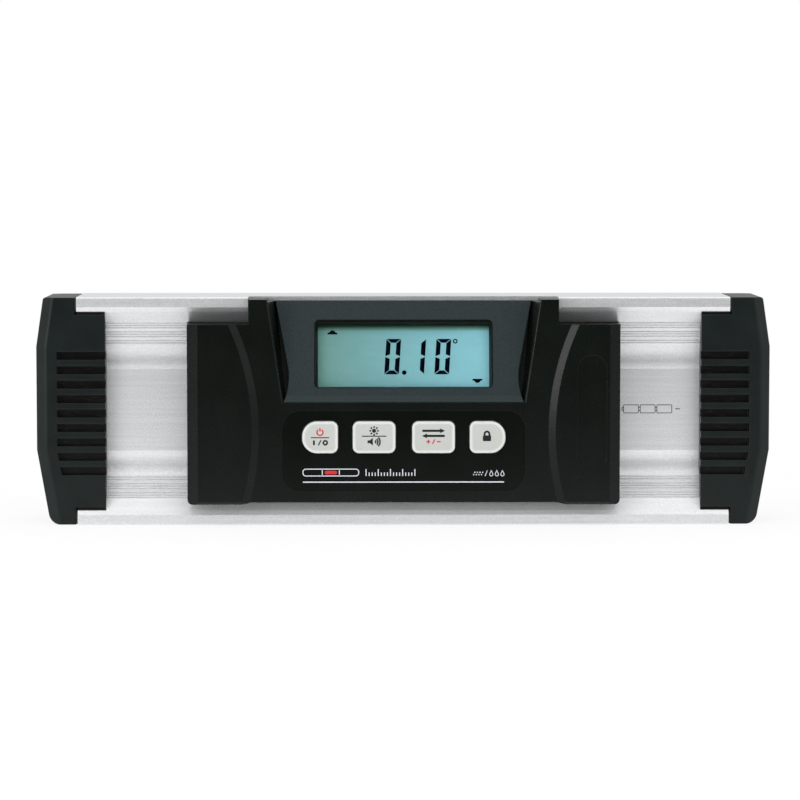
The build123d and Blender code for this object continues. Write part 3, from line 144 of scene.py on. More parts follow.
# Other finishes: dark and light tone, size and depth of the grain, roughness, rounding of the edges, plain
# values of the shader, and size of the clouds, with lengths in millimetres
CLOUD = 12
GRAINED = {
    "housing_plastic": ((0.0013, 0.0030, 0.0018), (0.0030, 0.0050, 0.0036), 0.3, 0.006, (0.24, 0.32), 0.35,
                        {"Specular IOR Level": 0.22}, CLOUD),
    "overlay_gloss": ((0.0013, 0.0028, 0.0015), (0.0026, 0.0042, 0.0030), 0.6, 0.003, (0.18, 0.25), 0.1,
                      {"Specular IOR Level": 0.15}, CLOUD),
    "backlight_white": ((0.80, 0.82, 0.83), (0.88, 0.90, 0.91), 0.5, 0.01, (0.5, 0.6), 0.1, {}, CLOUD),
    "seal_rubber": ((0.010, 0.010, 0.010), (0.022, 0.022, 0.021), 0.4, 0.02, (0.6, 0.75), 0.1,
                    {"Specular IOR Level": 0.25}, CLOUD),
    "screw_steel": ((0.42, 0.42, 0.41), (0.56, 0.56, 0.55), 0.3, 0.008, (0.25, 0.38), 0.06,
                    {"Metallic": 1.0}, 2),
    "magnet_nickel": ((0.55, 0.54, 0.50), (0.68, 0.66, 0.61), 0.5, 0.006, (0.18, 0.3), 0.15,
                      {"Metallic": 1.0}, 3),
    "contact_brass": ((0.62, 0.52, 0.33), (0.76, 0.66, 0.45), 0.4, 0.006, (0.22, 0.36), 0.05,
                      {"Metallic": 1.0}, 3),
    "board_green": ((0.012, 0.10, 0.035), (0.022, 0.15, 0.055), 0.6, 0.01, (0.25, 0.4), 0.05, {}, CLOUD),
    "component_black": ((0.012, 0.012, 0.013), (0.024, 0.024, 0.026), 0.3, 0.01, (0.5, 0.65), 0.05, {}, CLOUD),
    "sensor_metal": ((0.48, 0.49, 0.50), (0.60, 0.61, 0.62), 0.4, 0.006, (0.25, 0.35), 0.1,
                     {"Metallic": 1.0}, 2),
    "tube_plastic": ((0.026, 0.026, 0.030), (0.042, 0.042, 0.047), 0.4, 0.015, (0.45, 0.6), 0.2, {}, CLOUD),
    "cell_jacket": ((0.42, 0.31, 0.12), (0.54, 0.41, 0.18), 0.5, 0.006, (0.25, 0.35), 0.2,
                    {"Metallic": 0.4}, CLOUD),
}

# Inks: dark and light tone and gloss, then what they share, and how thick they lie on a face and reach into it
INKS = {
    "dark_ink": ((0.008, 0.009, 0.010), (0.016, 0.017, 0.018), 0.2),
    "red_ink": ((0.50, 0.02, 0.03), (0.58, 0.03, 0.04), 0.2),
    # painted shade: black ink for the ring round the sight
    "shade_ink": ((0.002, 0.003, 0.002), (0.005, 0.006, 0.004), 0.05),
    "white_ink": ((0.54, 0.57, 0.62), (0.62, 0.65, 0.70), 0.2),
    "crystal_ink": ((0.0008, 0.0015, 0.006), (0.0012, 0.002, 0.009), 0.0),
}
INK_GRAIN = (0.2, 0.003, (0.45, 0.6), 0.01)
INK_CLOUD = 1.5
INK_RISE = 0.02 * MM
INK_DEPTH = 0.03 * MM
INK_WELD = 0.002 * MM

# Display marks, in millimetres right of and above the middle of the liquid-crystal panel
DISPLAY_MIDDLE = 51.23 * MM
READING = "010"
DIGITS = {"0": "abcdef", "1": "bc"}
DIGIT_LEFT = -5.92
DIGIT_BASE = -5.05
DIGIT_PITCH = 7.675
DIGIT_WIDTH = 4.52
DIGIT_HEIGHT = 10.98
DIGIT_SLANT = 0.0645
SEGMENT_UPRIGHT = 1.40
SEGMENT_LEVEL = 1.20
SEGMENT_GAP = 0.13
SEGMENT_CUT = 0.4
POINT_PLACE = (0.21, -4.50)
POINT_RADIUS = 0.70
DEGREE_PLACE = (15.89, 5.21)
DEGREE_RADIUS = 0.55
DEGREE_LINE = 0.38
ARROW_UP_PLACE = (-21.78, 7.32)
ARROW_DOWN_PLACE = (22.62, -6.47)
ARROW_SIDE = ((1.425, 0), (1.575, 0.18), (1.475, 0.5), (0.9765, 0.62), (0.567, 1.134), (0.23625, 1.26))

# Key signs, in millimetres right of and above the middle of each key: lines, on and off
SIGN_LINE = 0.46
SLASH_LINE = 0.8 * SIGN_LINE
RULE_LINE = 0.30
POWER_PLACE = (0.0, 1.53)
POWER_RADIUS = 0.92
POWER_LINE = 0.42
POWER_RING = (125, 415)
POWER_STROKE = (0.25, 1.3)
POWER_RULE = (-2.80, 2.78, -0.10)
SWITCH_ROW = -1.65
SWITCH_STROKE = (-1.85, 0.72)
SWITCH_STROKE_LINE = 1.3 * SIGN_LINE
SWITCH_RING = (1.6, 0.6)
SWITCH_RING_LINE = 1.1 * SIGN_LINE
SWITCH_SLASH = (-0.5, 0.3, 0.8)

# Key signs: sun and loudspeaker
LIGHT_RULE = (-3.75, 3.75, 0.35)
LIGHT_PLACE = (0.0, 2.0)
SUN_RADIUS = 0.62
SUN_RAYS = (0.88, 1.45)
SUN_RAY_TURN = 45
SOUND_PLACE = (0.0, -1.35)
HORN = ((-2.0, 0.42), (-1.3, 0.42), (-0.4, 1.15))
WAVE_START = -0.2
WAVE_RADII = (0.7, 1.35, 2.0)
WAVE_TURN = 42

# Key signs: arrows each way, plus and minus, padlock
MODE_PLACE = (0.0, 1.2)
MODE_ROW = 0.78
MODE_ARROW = (-3.4, 2.0, 3.5)
MODE_HEAD = 0.72
MODE_LINE = 1.5 * SIGN_LINE
ZERO_PLACE = (0.0, -1.35)
ZERO_REACH = 1.6
ZERO_ARM = 0.6
ZERO_LINE = 0.38
ZERO_SLASH = (0.35, 0.7)
HOLD_PLACE = (-0.2, 0.25)
LOCK_BASE = -1.45
LOCK_SIZE = (2.5, 1.75)
LOCK_CORNER = 0.25
BOW_FOOT = 0.3
BOW_MIDDLE = 0.75
BOW_RADIUS = 0.72
BOW_LINE = 1.25 * SIGN_LINE

# Overlay prints, in millimetres right of and above the middle of the overlay: line, vial and scale
OVERLAY_MIDDLE = 23.4 * MM
RULE_ROW = -9.6
RULE_ENDS = (-30.75, 30.6)
RULE_WIDTH = 0.36
VIAL_ROW = -6.66
VIAL_LEFT = -30.75
VIAL_LENGTH = 17.0
VIAL_HEIGHT = 2.1
VIAL_CORNER = 0.9
VIAL_LINE = 0.28
VIAL_MARK = 2.6
VIAL_MARK_INSET = 0.3
BUBBLE_SIZE = (3.8, 1.1)
BUBBLE_CORNER = 0.54
SCALE_LEFT = -11.5
SCALE_STEP = 0.93
SCALE_TICKS = 17
SCALE_GROUP = 4
SCALE_SHORT = 0.5
SCALE_LINE = 0.3

# Overlay prints: dust grains, slash and drops
GUARD_ROW = -7.0
GUARD_LEFT = 21.5
GRAIN_COLUMNS = 4
GRAIN_STEP = 0.8
GRAIN_ROW = 0.35
GRAIN_LEAN = 0.5
GRAIN_RADIUS = 0.2
GUARD_SLASH = ((3.3, -0.8), (4.0, 0.9))
GUARD_LINE = 0.22
DROP_COUNT = 3
DROP_PLACE = (5.2, -0.25)
DROP_STEP = 1.7
DROP_RADIUS = 0.5
DROP_ROUND = (-205, 25)
DROP_TIP = 2.3

# Cell outlines printed on the web, in millimetres
CELL_PLACE = (67.53 * MM, 35.16 * MM)
CELL_COUNT = 3
CELL_PITCH = 5.15
CELL_LENGTH = 4.6
CELL_HEIGHT = 2.5
CELL_CORNER = 0.3
CELL_NUB = 0.45
CELL_NUB_HALF = 0.45
CELL_LINE = 0.21
POLE_SIGN = (1.0, 2.4)
POLE_LINE = 0.28

# Screws
SCREW_SIDES = 48
SCREW_SMOOTH = math.radians(30)
SOCKET_SHARE = 0.53
SOCKET_TAPER = 0.94
SOCKET_DEPTH = 0.6
HEAD_EDGE = 0.12
HEAD_ROUND = 0.3
TIP_SHARE = 0.2
CAP_HEAD_HEIGHT = 1.9 * MM
CAP_SHANK_RADIUS = 1.5 * MM
COVER_HEAD_HEIGHT = 1.2 * MM
COVER_HEAD_RADIUS = 2.8 * MM
COVER_SHANK_RADIUS = 1.5 * MM

# Edges of the end seals, dark rubber in the caps' rebates that also stands in as painted shade of the gap under
# the lips: heights at the upper lip, and how far they stand off the profile
MIDDLE_HEIGHT = 35.0 * MM
SEAL_SHADE_ROWS = [64.72 * MM, 65.1 * MM, 65.5 * MM]
SEAL_SHADE_RISE = 0.12 * MM

# Studio: the tent's cloth in gloss from the camera's side to the far side, and its light on matt faces from the
# floor up to the roof
TENT_CLOTH = ((0.035, (0.16, 0.16, 0.16)), (0.125, WHITE), (0.7, WHITE), (1.0, (0.62, 0.62, 0.62)))
TENT_LIGHT = ((0.5, (0.4, 0.4, 0.4)), (0.85, WHITE))

# Studio: half the floor's width and its tone, how much of it glows near the object and far from it, and how it
# darkens towards the camera where gloss shows it
FLOOR_HALF = 6.0
FLOOR_TONE = (0.9, 0.9, 0.9, 1)
FLOOR_GLOW = (0.85, 1.0, 0.2, 0.5)
FLOOR_FRONT = (-0.30, -0.06)
FLOOR_DIM = (0.1, 0.1, 0.1)

# Lamps: place, target, size, power, and whether gloss shows it
LAMPS = {
    "left_softbox": ((-0.75, -0.70, 0.22), (0, 0, 0.035), (0.22, 0.5), 2.0, True),
    "top_softbox": ((0.0, -0.55, 0.85), (0, 0, 0.035), (1.0, 0.3), 2.6, False),
    "right_softbox": ((0.80, -0.60, 0.30), (0, 0, 0.035), (0.4, 0.5), 1.0, False),
    "floor_card": ((0.0, -0.20, 0.003), (0.0, -0.20, 1.0), (1.2, 0.35), 0.6, False),
}


# Shader helpers

def node(tree, kind, inputs=(), **settings):
    """Adds a shader node; an input takes either a plain value or another node's output."""
    made = tree.nodes.new("ShaderNode" + kind)
    for name, value in settings.items():
        setattr(made, name, value)
    for name, value in dict(inputs).items():
        if isinstance(value, bpy.types.NodeSocket):
            tree.links.new(value, made.inputs[name])
        else:
            made.inputs[name].default_value = value
    return made


def position(tree, axis=None):
    """Where a point lies on the object, whole or along one axis."""
    place = node(tree, "TexCoord").outputs["Object"]
    return node(tree, "SeparateXYZ", {"Vector": place}).outputs[axis] if axis else place


def along(tree, face, axis):
    """How far a point lies along one axis of a face's frame, and how far the face itself does."""
    way = face.col[axis].to_3d()
    reach = node(tree, "VectorMath", {0: position(tree), 1: way}, operation="DOT_PRODUCT").outputs["Value"]
    return reach, way.dot(face.translation)


def combined(tree, operation, *values):
    """One or two values put through an operation."""
    return node(tree, "Math", dict(enumerate(values)), operation=operation).outputs[0]


def blended(tree, share, first, second, **settings):
    """Two numbers mixed by a share."""
    return node(tree, "Mix", {"Factor": share, "A": first, "B": second}, **settings).outputs["Result"]


def toned(tree, share, first, second, way="MIX"):
    """Two colours mixed by a share."""
    return blended(tree, share, first, second, data_type="RGBA", blend_type=way)


def noise(tree, size, detail=2.0, stretch=(1, 1, 1)):
    """Noise with features of about this size, fixed to the object."""
    scaled = node(tree, "Mapping", {"Vector": position(tree), "Scale": stretch}).outputs["Vector"]
    return node(tree, "TexNoise", {"Vector": scaled, "Scale": 1 / size, "Detail": detail}).outputs[0]


def spread(tree, value, low, high, start=0.3, stop=0.7):
    """Maps a texture's usual range, or another, to the range from low to high."""
    ends = {"Value": value, "From Min": start, "From Max": stop, "To Min": low, "To Max": high}
    return node(tree, "MapRange", ends).outputs["Result"]


def ramp(tree, value, *stops):
    """Colours along a value; each stop is a place and a colour."""
    made = node(tree, "ValToRGB", {"Fac": value})
    elements = made.color_ramp.elements
    for place, _ in stops[2:]:
        elements.new(place)
    for element, (place, colour) in zip(elements, stops):
        element.position = place
        element.color = (*colour, 1)
    return made.outputs["Color"]


def principled(name, plain=()):
    """A material with plain values on the shader's own sockets."""
    made = bpy.data.materials.new(name)
    made.use_nodes = True
    shader = made.node_tree.nodes["Principled BSDF"]
    for socket, value in dict(plain).items():
        shader.inputs[socket].default_value = value
    return made, made.node_tree, shader


def wire(tree, shader, sockets):
    """Links outputs to the sockets of a shader."""
    for name, value in sockets.items():
        tree.links.new(value, shader.inputs[name])


def relief(tree, height, depth, edge):
    """A normal with fine relief of this depth over edges rounded by this radius."""
    rounded = node(tree, "Bevel", {"Radius": edge}, samples=6).outputs["Normal"]
    return node(tree, "Bump", {"Height": height, "Distance": depth, "Normal": rounded}).outputs["Normal"]


def grained(name, dark, light, grain, depth, roughness, edge, plain, cloud):
    """A finish with cloudy colour between two tones, and a fine grain in its relief and roughness."""
    made, tree, shader = principled(name, plain)
    fine = noise(tree, grain * MM, 3.0)
    wire(tree, shader, {
        "Base Color": ramp(tree, noise(tree, cloud * MM, 4.0), (0.3, dark), (0.7, light)),
        "Roughness": spread(tree, fine, *roughness),
        "Normal": relief(tree, fine, depth * MM, edge * MM),
    })
    return made


# Finishes

def blasted_aluminium():
    """Bead-blasted and anodised: fine speckle, faint drawing lines along the profile, a matt lower slope."""
    made, tree, shader = principled("blasted_aluminium")
    speckle = noise(tree, PROFILE_SPECKLE)
    drawn = noise(tree, PROFILE_DRAWN, stretch=DRAWN_STRETCH)
    tones = ramp(tree, blended(tree, DRAWN_SHARE, speckle, drawn), *PROFILE_TONES)
    height = position(tree, "Z")
    start = spread(tree, height, 0, 1, LOW_SLOPE[0] - SLOPE_FADE, LOW_SLOPE[0])
    stop = spread(tree, height, 1, 0, LOW_SLOPE[1], LOW_SLOPE[1] + SLOPE_FADE)
    slope = combined(tree, "MULTIPLY", start, stop)
    wire(tree, shader, {
        "Base Color": toned(tree, slope, tones, SLOPE_TONE, "MULTIPLY"),
        "Metallic": spread(tree, slope, *PROFILE_METAL, 0, 1),
        "Roughness": spread(tree, speckle, *PROFILE_ROUGHNESS),
        "Normal": relief(tree, speckle, *PROFILE_RELIEF),
    })
    return made


def cap_plastic():
    """Satin black moulding with olive dust and painted shade on the floors of its slots."""
    made, tree, shader = principled("cap_plastic", {"Specular IOR Level": 0.25})
    fine = noise(tree, CAP_GRAIN, 3.0)
    tones = ramp(tree, noise(tree, CAP_CLOUDS, 5.0), *CAP_TONES)
    far = combined(tree, "ABSOLUTE", position(tree, "X"))
    inside = spread(tree, far, 1, 0, SLOT_REACH - SLOT_REACH_FADE, SLOT_REACH)
    sunk = spread(tree, position(tree, "Y"), 0, 1, SLOT_FLOOR - SLOT_FLOOR_FADE, SLOT_FLOOR)
    # dust and painted shade: the dark tone shades the slot floors, and the olive tone is dust
    dust = ramp(tree, noise(tree, DUST_GRAIN, 4.0, DUST_STRETCH), *DUST_AND_SHADE_TONES)
    wire(tree, shader, {
        "Base Color": toned(tree, combined(tree, "MULTIPLY", inside, sunk), tones, dust),
        "Roughness": spread(tree, fine, *CAP_ROUGHNESS),
        "Normal": relief(tree, fine, *CAP_RELIEF),
    })
    return made


def bezel_satin():
    """Satin grey panel, with painted shade: black inside its sight opening and down its sides."""
    made, tree, shader = principled("bezel_satin", {"Specular IOR Level": 0.15})
    fine = noise(tree, BEZEL_GRAIN, 3.0)
    rise, level = along(tree, face_frame("display_bezel", 0, BEZEL_FACE), 2)
    # painted shade: faces sunk below the panel, in the sight and down the sides, turn black
    depth = spread(tree, rise, 0, 1, level - BEZEL_SHADE_FULL, level - BEZEL_SHADE_START)
    wire(tree, shader, {
        "Base Color": toned(tree, depth, BEZEL_SHADE_BLACK, ramp(tree, fine, *BEZEL_TONES)),
        "Roughness": spread(tree, fine, *BEZEL_ROUGHNESS),
        "Normal": relief(tree, fine, *BEZEL_RELIEF),
    })
    return made


def key_plastic():
    """Pale silicone with a painted highlight: lighter on the rim than in the greyer dish."""
    made, tree, shader = principled("key_plastic", {"Specular IOR Level": 0.5})
    fine = noise(tree, KEY_GRAIN, 3.0)
    # painted highlight: the rim is painted lighter than the dish
    dish = spread(tree, position(tree, "Y"), 0, 1, *KEY_HIGHLIGHT_DEPTHS)
    wire(tree, shader, {
        "Base Color": ramp(tree, blended(tree, KEY_GRAIN_SHARE, dish, fine), *KEY_HIGHLIGHT_TONES),
        "Roughness": spread(tree, fine, *KEY_ROUGHNESS),
        "Normal": relief(tree, fine, *KEY_RELIEF),
    })
    return made


def lcd_glass():
    """Liquid crystal: green at the left, paler blue at the right, painted shade under its top edge, fine grain.
    """
    made, tree, shader = principled("lcd_glass", {"Specular IOR Level": 0.05})
    across = spread(tree, position(tree, "X"), 0, 1, -CRYSTAL_HALF, CRYSTAL_HALF)
    # painted shade: the crystal's tint darkens towards its top edge, where the sight's rim would shade it
    height, level = along(tree, face_frame("lcd_panel", 0, DISPLAY_MIDDLE), 1)
    share = spread(tree, height, 0, 1, level + TOP_SHADE_FADE[0], level + TOP_SHADE_FADE[1])
    tint, seal = ramp(tree, across, *CRYSTAL_TINTS), ramp(tree, share, *TOP_SHADE_TONES)
    paper = ramp(tree, noise(tree, CRYSTAL_GRAIN), *CRYSTAL_PAPER)
    shaded = toned(tree, 1.0, tint, seal, "MULTIPLY")
    wire(tree, shader, {
        "Base Color": toned(tree, 1.0, shaded, paper, "MULTIPLY"),
        "Roughness": spread(tree, paper, *CRYSTAL_ROUGHNESS),
    })
    return made


def window_clear():
    """Clear pane with faint wiping marks in its gloss."""
    made, tree, shader = principled("window_clear", {"Transmission Weight": 1.0, "IOR": 1.15})
    wiped = noise(tree, WINDOW_MARKS, 3.0, WINDOW_STRETCH)
    wire(tree, shader, {
        "Base Color": ramp(tree, wiped, *WINDOW_TONES),
        "Roughness": spread(tree, wiped, *WINDOW_ROUGHNESS),
    })
    return made


def finishes():
    """One material for each slot of the record, and the inks."""
    made = {material.__name__: material() for material in (
        blasted_aluminium, cap_plastic, bezel_satin, key_plastic, lcd_glass, window_clear)}
    for name, settings in GRAINED.items():
        made[name] = grained(name, *settings)
    for name, (dark, light, gloss) in INKS.items():
        made[name] = grained(name, dark, light, *INK_GRAIN, {"Specular IOR Level": gloss}, INK_CLOUD)
    return made


def dress(materials):
    """Gives every CAD node the finish of its slot."""
    for part in frame["record"]["subparts"]:
        mesh = frame["nodes"][part["node"]].data
        mesh.materials.clear()
        mesh.materials.append(materials[part["material_slot"]])


# Flat shapes for prints, in millimetres

def arc(centre, radius, start, stop, steps=24):
    """Points on an arc between two angles, in degrees."""
    turns = [math.radians(start + (stop - start) * i / steps) for i in range(steps + 1)]
    return [(centre[0] + radius * math.cos(a), centre[1] + radius * math.sin(a)) for a in turns]


def band(path, width, closed=False):
    """Faces of an even line along a path, with mitred corners."""
    points = [Vector(p) for p in path]
    sides = []
    for i, point in enumerate(points):
        ways = []
        if closed or i:
            ways.append((point - points[i - 1]).normalized())
        if closed or i < len(points) - 1:
            ways.append((points[(i + 1) % len(points)] - point).normalized())
        forward = (ways[0] + ways[-1]).normalized()
        across = Vector((-forward.y, forward.x))
        reach = width / 2 / max(0.5, across.dot(Vector((-ways[0].y, ways[0].x))))
        sides.append((point + across * reach, point - across * reach))
    ends = sides[1:] + sides[:1] if closed else sides[1:]
    return [(a[0], a[1], b[1], b[0]) for a, b in zip(sides, ends)]


def rule(ends_and_row, width):
    """A straight level line."""
    left, right, row = ends_and_row
    return band([(left, row), (right, row)], width)


def ring(centre, radius, width):
    """Faces of a closed ring."""
    return band(arc(centre, radius, 0, 360)[:-1], width, True)


def disc(centre, radius):
    """A round face."""
    return [arc(centre, radius, 0, 360)[:-1]]


def moved(faces, by):
    """The same faces, shifted."""
    return [[(x + by[0], y + by[1]) for x, y in face] for face in faces]


def slot_outline(left, bottom, length, height, radius):
    """Points round a rectangle with round corners."""
    right = left + length
    top = bottom + height
    corners = (((right - radius, bottom + radius), -90), ((right - radius, top - radius), 0),
               ((left + radius, top - radius), 90), ((left + radius, bottom + radius), 180))
    return [point for centre, turn in corners for point in arc(centre, radius, turn, turn + 90, 8)]


def segments(lit):
    """Faces of one seven-segment digit; lit names segments, a at the top and on clockwise, g in the middle."""
    wide, tall, up, flat, gap = DIGIT_WIDTH, DIGIT_HEIGHT, SEGMENT_UPRIGHT, SEGMENT_LEVEL, SEGMENT_GAP
    waist = tall / 2
    upper = [(0, tall - gap), (up, tall - flat - gap), (up, waist + gap + SEGMENT_CUT * up), (0, waist + gap)]
    top = [(gap, tall), (up + gap, tall - flat), (wide - up - gap, tall - flat), (wide - gap, tall)]
    bar = [(gap, waist), (up, waist + flat / 2), (wide - up, waist + flat / 2), (wide - gap, waist),
           (wide - up, waist - flat / 2), (up, waist - flat / 2)]
    shapes = {
        "a": top,
        "b": [(wide - x, y) for x, y in upper],
        "c": [(wide - x, tall - y) for x, y in upper],
        "d": [(x, tall - y) for x, y in top],
        "e": [(x, tall - y) for x, y in upper],
        "f": upper,
        "g": bar,
    }
    return [[(x + DIGIT_SLANT * y, y) for x, y in shapes[name]] for name in lit]


def display_marks():
    """The reading, its point and degree ring, and the two arrows that say which way to tilt."""
    faces = []
    for place, digit in enumerate(READING):
        faces += moved(segments(DIGITS[digit]), (DIGIT_LEFT + place * DIGIT_PITCH, DIGIT_BASE))
    faces += disc(POINT_PLACE, POINT_RADIUS)
    faces += ring(DEGREE_PLACE, DEGREE_RADIUS, DEGREE_LINE)
    dome = [*ARROW_SIDE, *((-x, y) for x, y in reversed(ARROW_SIDE))]
    faces += moved([dome], ARROW_UP_PLACE)
    faces += moved([[(x, -y) for x, y in dome]], ARROW_DOWN_PLACE)
    return faces


def power_sign():
    """Open ring with an upright stroke."""
    x, y = POWER_PLACE
    stroke = [(x, y + end) for end in POWER_STROKE]
    return band(arc(POWER_PLACE, POWER_RADIUS, *POWER_RING), POWER_LINE) + band(stroke, POWER_LINE)


def switch_signs():
    """Upright stroke for on, ring for off, with a slash between them."""
    y = SWITCH_ROW
    place, half = SWITCH_STROKE
    middle, radius = SWITCH_RING
    left, right, rise = SWITCH_SLASH
    return (band([(place, y - half), (place, y + half)], SWITCH_STROKE_LINE)
            + ring((middle, y), radius, SWITCH_RING_LINE)
            + band([(left, y - rise), (right, y + rise)], SLASH_LINE))


def light_sign():
    """A sun with eight rays."""
    faces = disc(LIGHT_PLACE, SUN_RADIUS)
    for turn in range(0, 360, SUN_RAY_TURN):
        faces += band([arc(LIGHT_PLACE, radius, turn, turn, 1)[0] for radius in SUN_RAYS], SIGN_LINE)
    return faces


def sound_sign():
    """A loudspeaker with three waves."""
    x, y = SOUND_PLACE
    faces = [[(x + a, y - low), (x + b, y - high), (x + b, y + high), (x + a, y + low)]
             for (a, low), (b, high) in zip(HORN, HORN[1:])]
    for radius in WAVE_RADII:
        faces += band(arc((x + WAVE_START, y), radius, -WAVE_TURN, WAVE_TURN, 12), SIGN_LINE)
    return faces


def mode_sign():
    """Two arrows, one each way."""
    faces = []
    for way in (1, -1):
        tail, neck, tip = (MODE_PLACE[0] + way * x for x in MODE_ARROW)
        y = MODE_PLACE[1] + way * MODE_ROW
        faces += rule((tail, neck, y), MODE_LINE)
        faces.append([(neck, y - MODE_HEAD), (tip, y), (neck, y + MODE_HEAD)])
    return faces


def zero_sign():
    """Plus, slash and minus, for readings from a zero of one's own."""
    x, y = ZERO_PLACE
    half = ZERO_LINE / 2
    corner = [(half, -ZERO_ARM), (half, -half), (ZERO_ARM, -half)]
    cross = []
    for _ in range(4):
        cross += corner
        corner = [(-b, a) for a, b in corner]
    across, up = ZERO_SLASH
    slash = band([(x - across, y - up), (x + across, y + up)], SLASH_LINE)
    minus = rule((x + ZERO_REACH - ZERO_ARM, x + ZERO_REACH + ZERO_ARM, y), ZERO_LINE)
    return moved([cross], (x - ZERO_REACH, y)) + slash + minus


def hold_sign():
    """A closed padlock."""
    x, y = HOLD_PLACE
    body = slot_outline(x - LOCK_SIZE[0] / 2, y + LOCK_BASE, *LOCK_SIZE, LOCK_CORNER)
    bow = arc((x, y + BOW_MIDDLE), BOW_RADIUS, 180, 0, 12)
    feet = [(x + side * BOW_RADIUS, y + BOW_FOOT) for side in (-1, 1)]
    return [body] + band(feet[:1] + bow + feet[1:], BOW_LINE)


def vial_sign():
    """A long bubble vial in outline, and beside it a row of scale strokes."""
    base = VIAL_ROW - VIAL_HEIGHT / 2
    faces = band(slot_outline(VIAL_LEFT, base, VIAL_LENGTH, VIAL_HEIGHT, VIAL_CORNER), VIAL_LINE, True)
    middle = VIAL_LEFT + VIAL_LENGTH / 2
    for x in (middle - VIAL_MARK, middle + VIAL_MARK):
        faces += band([(x, base + VIAL_MARK_INSET), (x, base + VIAL_HEIGHT - VIAL_MARK_INSET)], VIAL_LINE)
    for tick in range(SCALE_TICKS):
        tall = VIAL_HEIGHT if tick % SCALE_GROUP == 0 else SCALE_SHORT * VIAL_HEIGHT
        x = SCALE_LEFT + tick * SCALE_STEP
        faces += band([(x, base), (x, base + tall)], SCALE_LINE)
    return faces


def bubble_sign():
    """The bubble of the vial."""
    length, height = BUBBLE_SIZE
    left = VIAL_LEFT + VIAL_LENGTH / 2 - length / 2
    return [slot_outline(left, VIAL_ROW - height / 2, length, height, BUBBLE_CORNER)]


def drop(centre, radius):
    """A water drop in outline."""
    x, y = centre
    return band(arc(centre, radius, *DROP_ROUND) + [(x, y + DROP_TIP * radius)], GUARD_LINE, True)


def guard_signs():
    """Dust grains and water drops, for what the housing keeps out."""
    faces = []
    for column in range(GRAIN_COLUMNS):
        for row in (GRAIN_ROW, -GRAIN_ROW):
            x = GUARD_LEFT + column * GRAIN_STEP + row * GRAIN_LEAN
            faces += disc((x, GUARD_ROW + row), GRAIN_RADIUS)
    faces += band([(GUARD_LEFT + x, GUARD_ROW + y) for x, y in GUARD_SLASH], GUARD_LINE)
    for column in range(DROP_COUNT):
        x = GUARD_LEFT + DROP_PLACE[0] + column * DROP_STEP
        faces += drop((x, GUARD_ROW + DROP_PLACE[1]), DROP_RADIUS)
    return faces


def cell_outlines():
    """Three cells end to end, each with its nub to the left, and the sign of the far pole."""
    faces = []
    low, high = -CELL_NUB_HALF, CELL_NUB_HALF
    for cell in range(CELL_COUNT):
        left = cell * CELL_PITCH + CELL_NUB
        body = slot_outline(left, -CELL_HEIGHT / 2, CELL_LENGTH, CELL_HEIGHT, CELL_CORNER)
        faces += band(body, CELL_LINE, True)
        start = left - CELL_LINE / 2
        if cell:
            stop = (cell - 1) * CELL_PITCH + CELL_NUB + CELL_LENGTH + CELL_LINE / 2
            faces += rule((start, stop, low), CELL_LINE) + rule((start, stop, high), CELL_LINE)
        else:
            stop = left - CELL_NUB
            faces += band([(start, low), (stop, low), (stop, high), (start, high)], CELL_LINE)
    end = CELL_COUNT * CELL_PITCH
    return faces + rule((end + POLE_SIGN[0], end + POLE_SIGN[1], 0), POLE_LINE)


# Pieces

def face_frame(name, x, z):
    """Frame where a line from the front first meets a node: x to the right, y up the face, z out of it."""
    bpy.context.view_layer.update()
    _, place, out, _ = frame["nodes"][name].ray_cast(Vector((x, -1.0, z)), INWARD)
    up = out.cross(Vector((1, 0, 0))).normalized()
    turn = Matrix((up.cross(out), up, out)).transposed().to_4x4()
    return Matrix.Translation(place) @ turn


def linked(name, data):
    """An object of a mesh, lamp or camera, put into the scene."""
    made = bpy.data.objects.new(name, data)
    bpy.context.scene.collection.objects.link(made)
    return made


def mesh_object(name, bm, finish):
    """An object of a bmesh, with its finish."""
    mesh = bpy.data.meshes.new(name)
    bm.to_mesh(mesh)
    bm.free()
    mesh.materials.append(finish)
    return linked(name, mesh)


def piece(name, bm, finish, body, smooth_angle=None):
    """Makes an object of a bmesh, with its finish, and sets it on a body."""
    made = mesh_object(name, bm, finish)
    if smooth_angle:
        made.data.polygons.foreach_set("use_smooth", [True] * len(made.data.polygons))
        made.data.set_sharp_from_angle(angle=smooth_angle)
    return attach(made, body)


def thicken(bm, depth):
    """Gives flat faces a depth behind them."""
    back = bmesh.ops.extrude_face_region(bm, geom=bm.faces[:])["geom"]
    behind = [v for v in back if isinstance(v, bmesh.types.BMVert)]
    bmesh.ops.translate(bm, verts=behind, vec=(0, 0, -depth))
    bmesh.ops.recalc_face_normals(bm, faces=bm.faces)


def printed(name, faces, place, finish, body="level_body"):
    """A thin layer of ink on a face, in flat shapes given in millimetres."""
    bm = bmesh.new()
    for face in faces:
        bm.faces.new([bm.verts.new((x * MM, y * MM, INK_RISE)) for x, y in face])
    bmesh.ops.remove_doubles(bm, verts=bm.verts, dist=INK_WELD)
    thicken(bm, INK_RISE + INK_DEPTH)
    bm.transform(place)
    return piece(name, bm, finish, body)


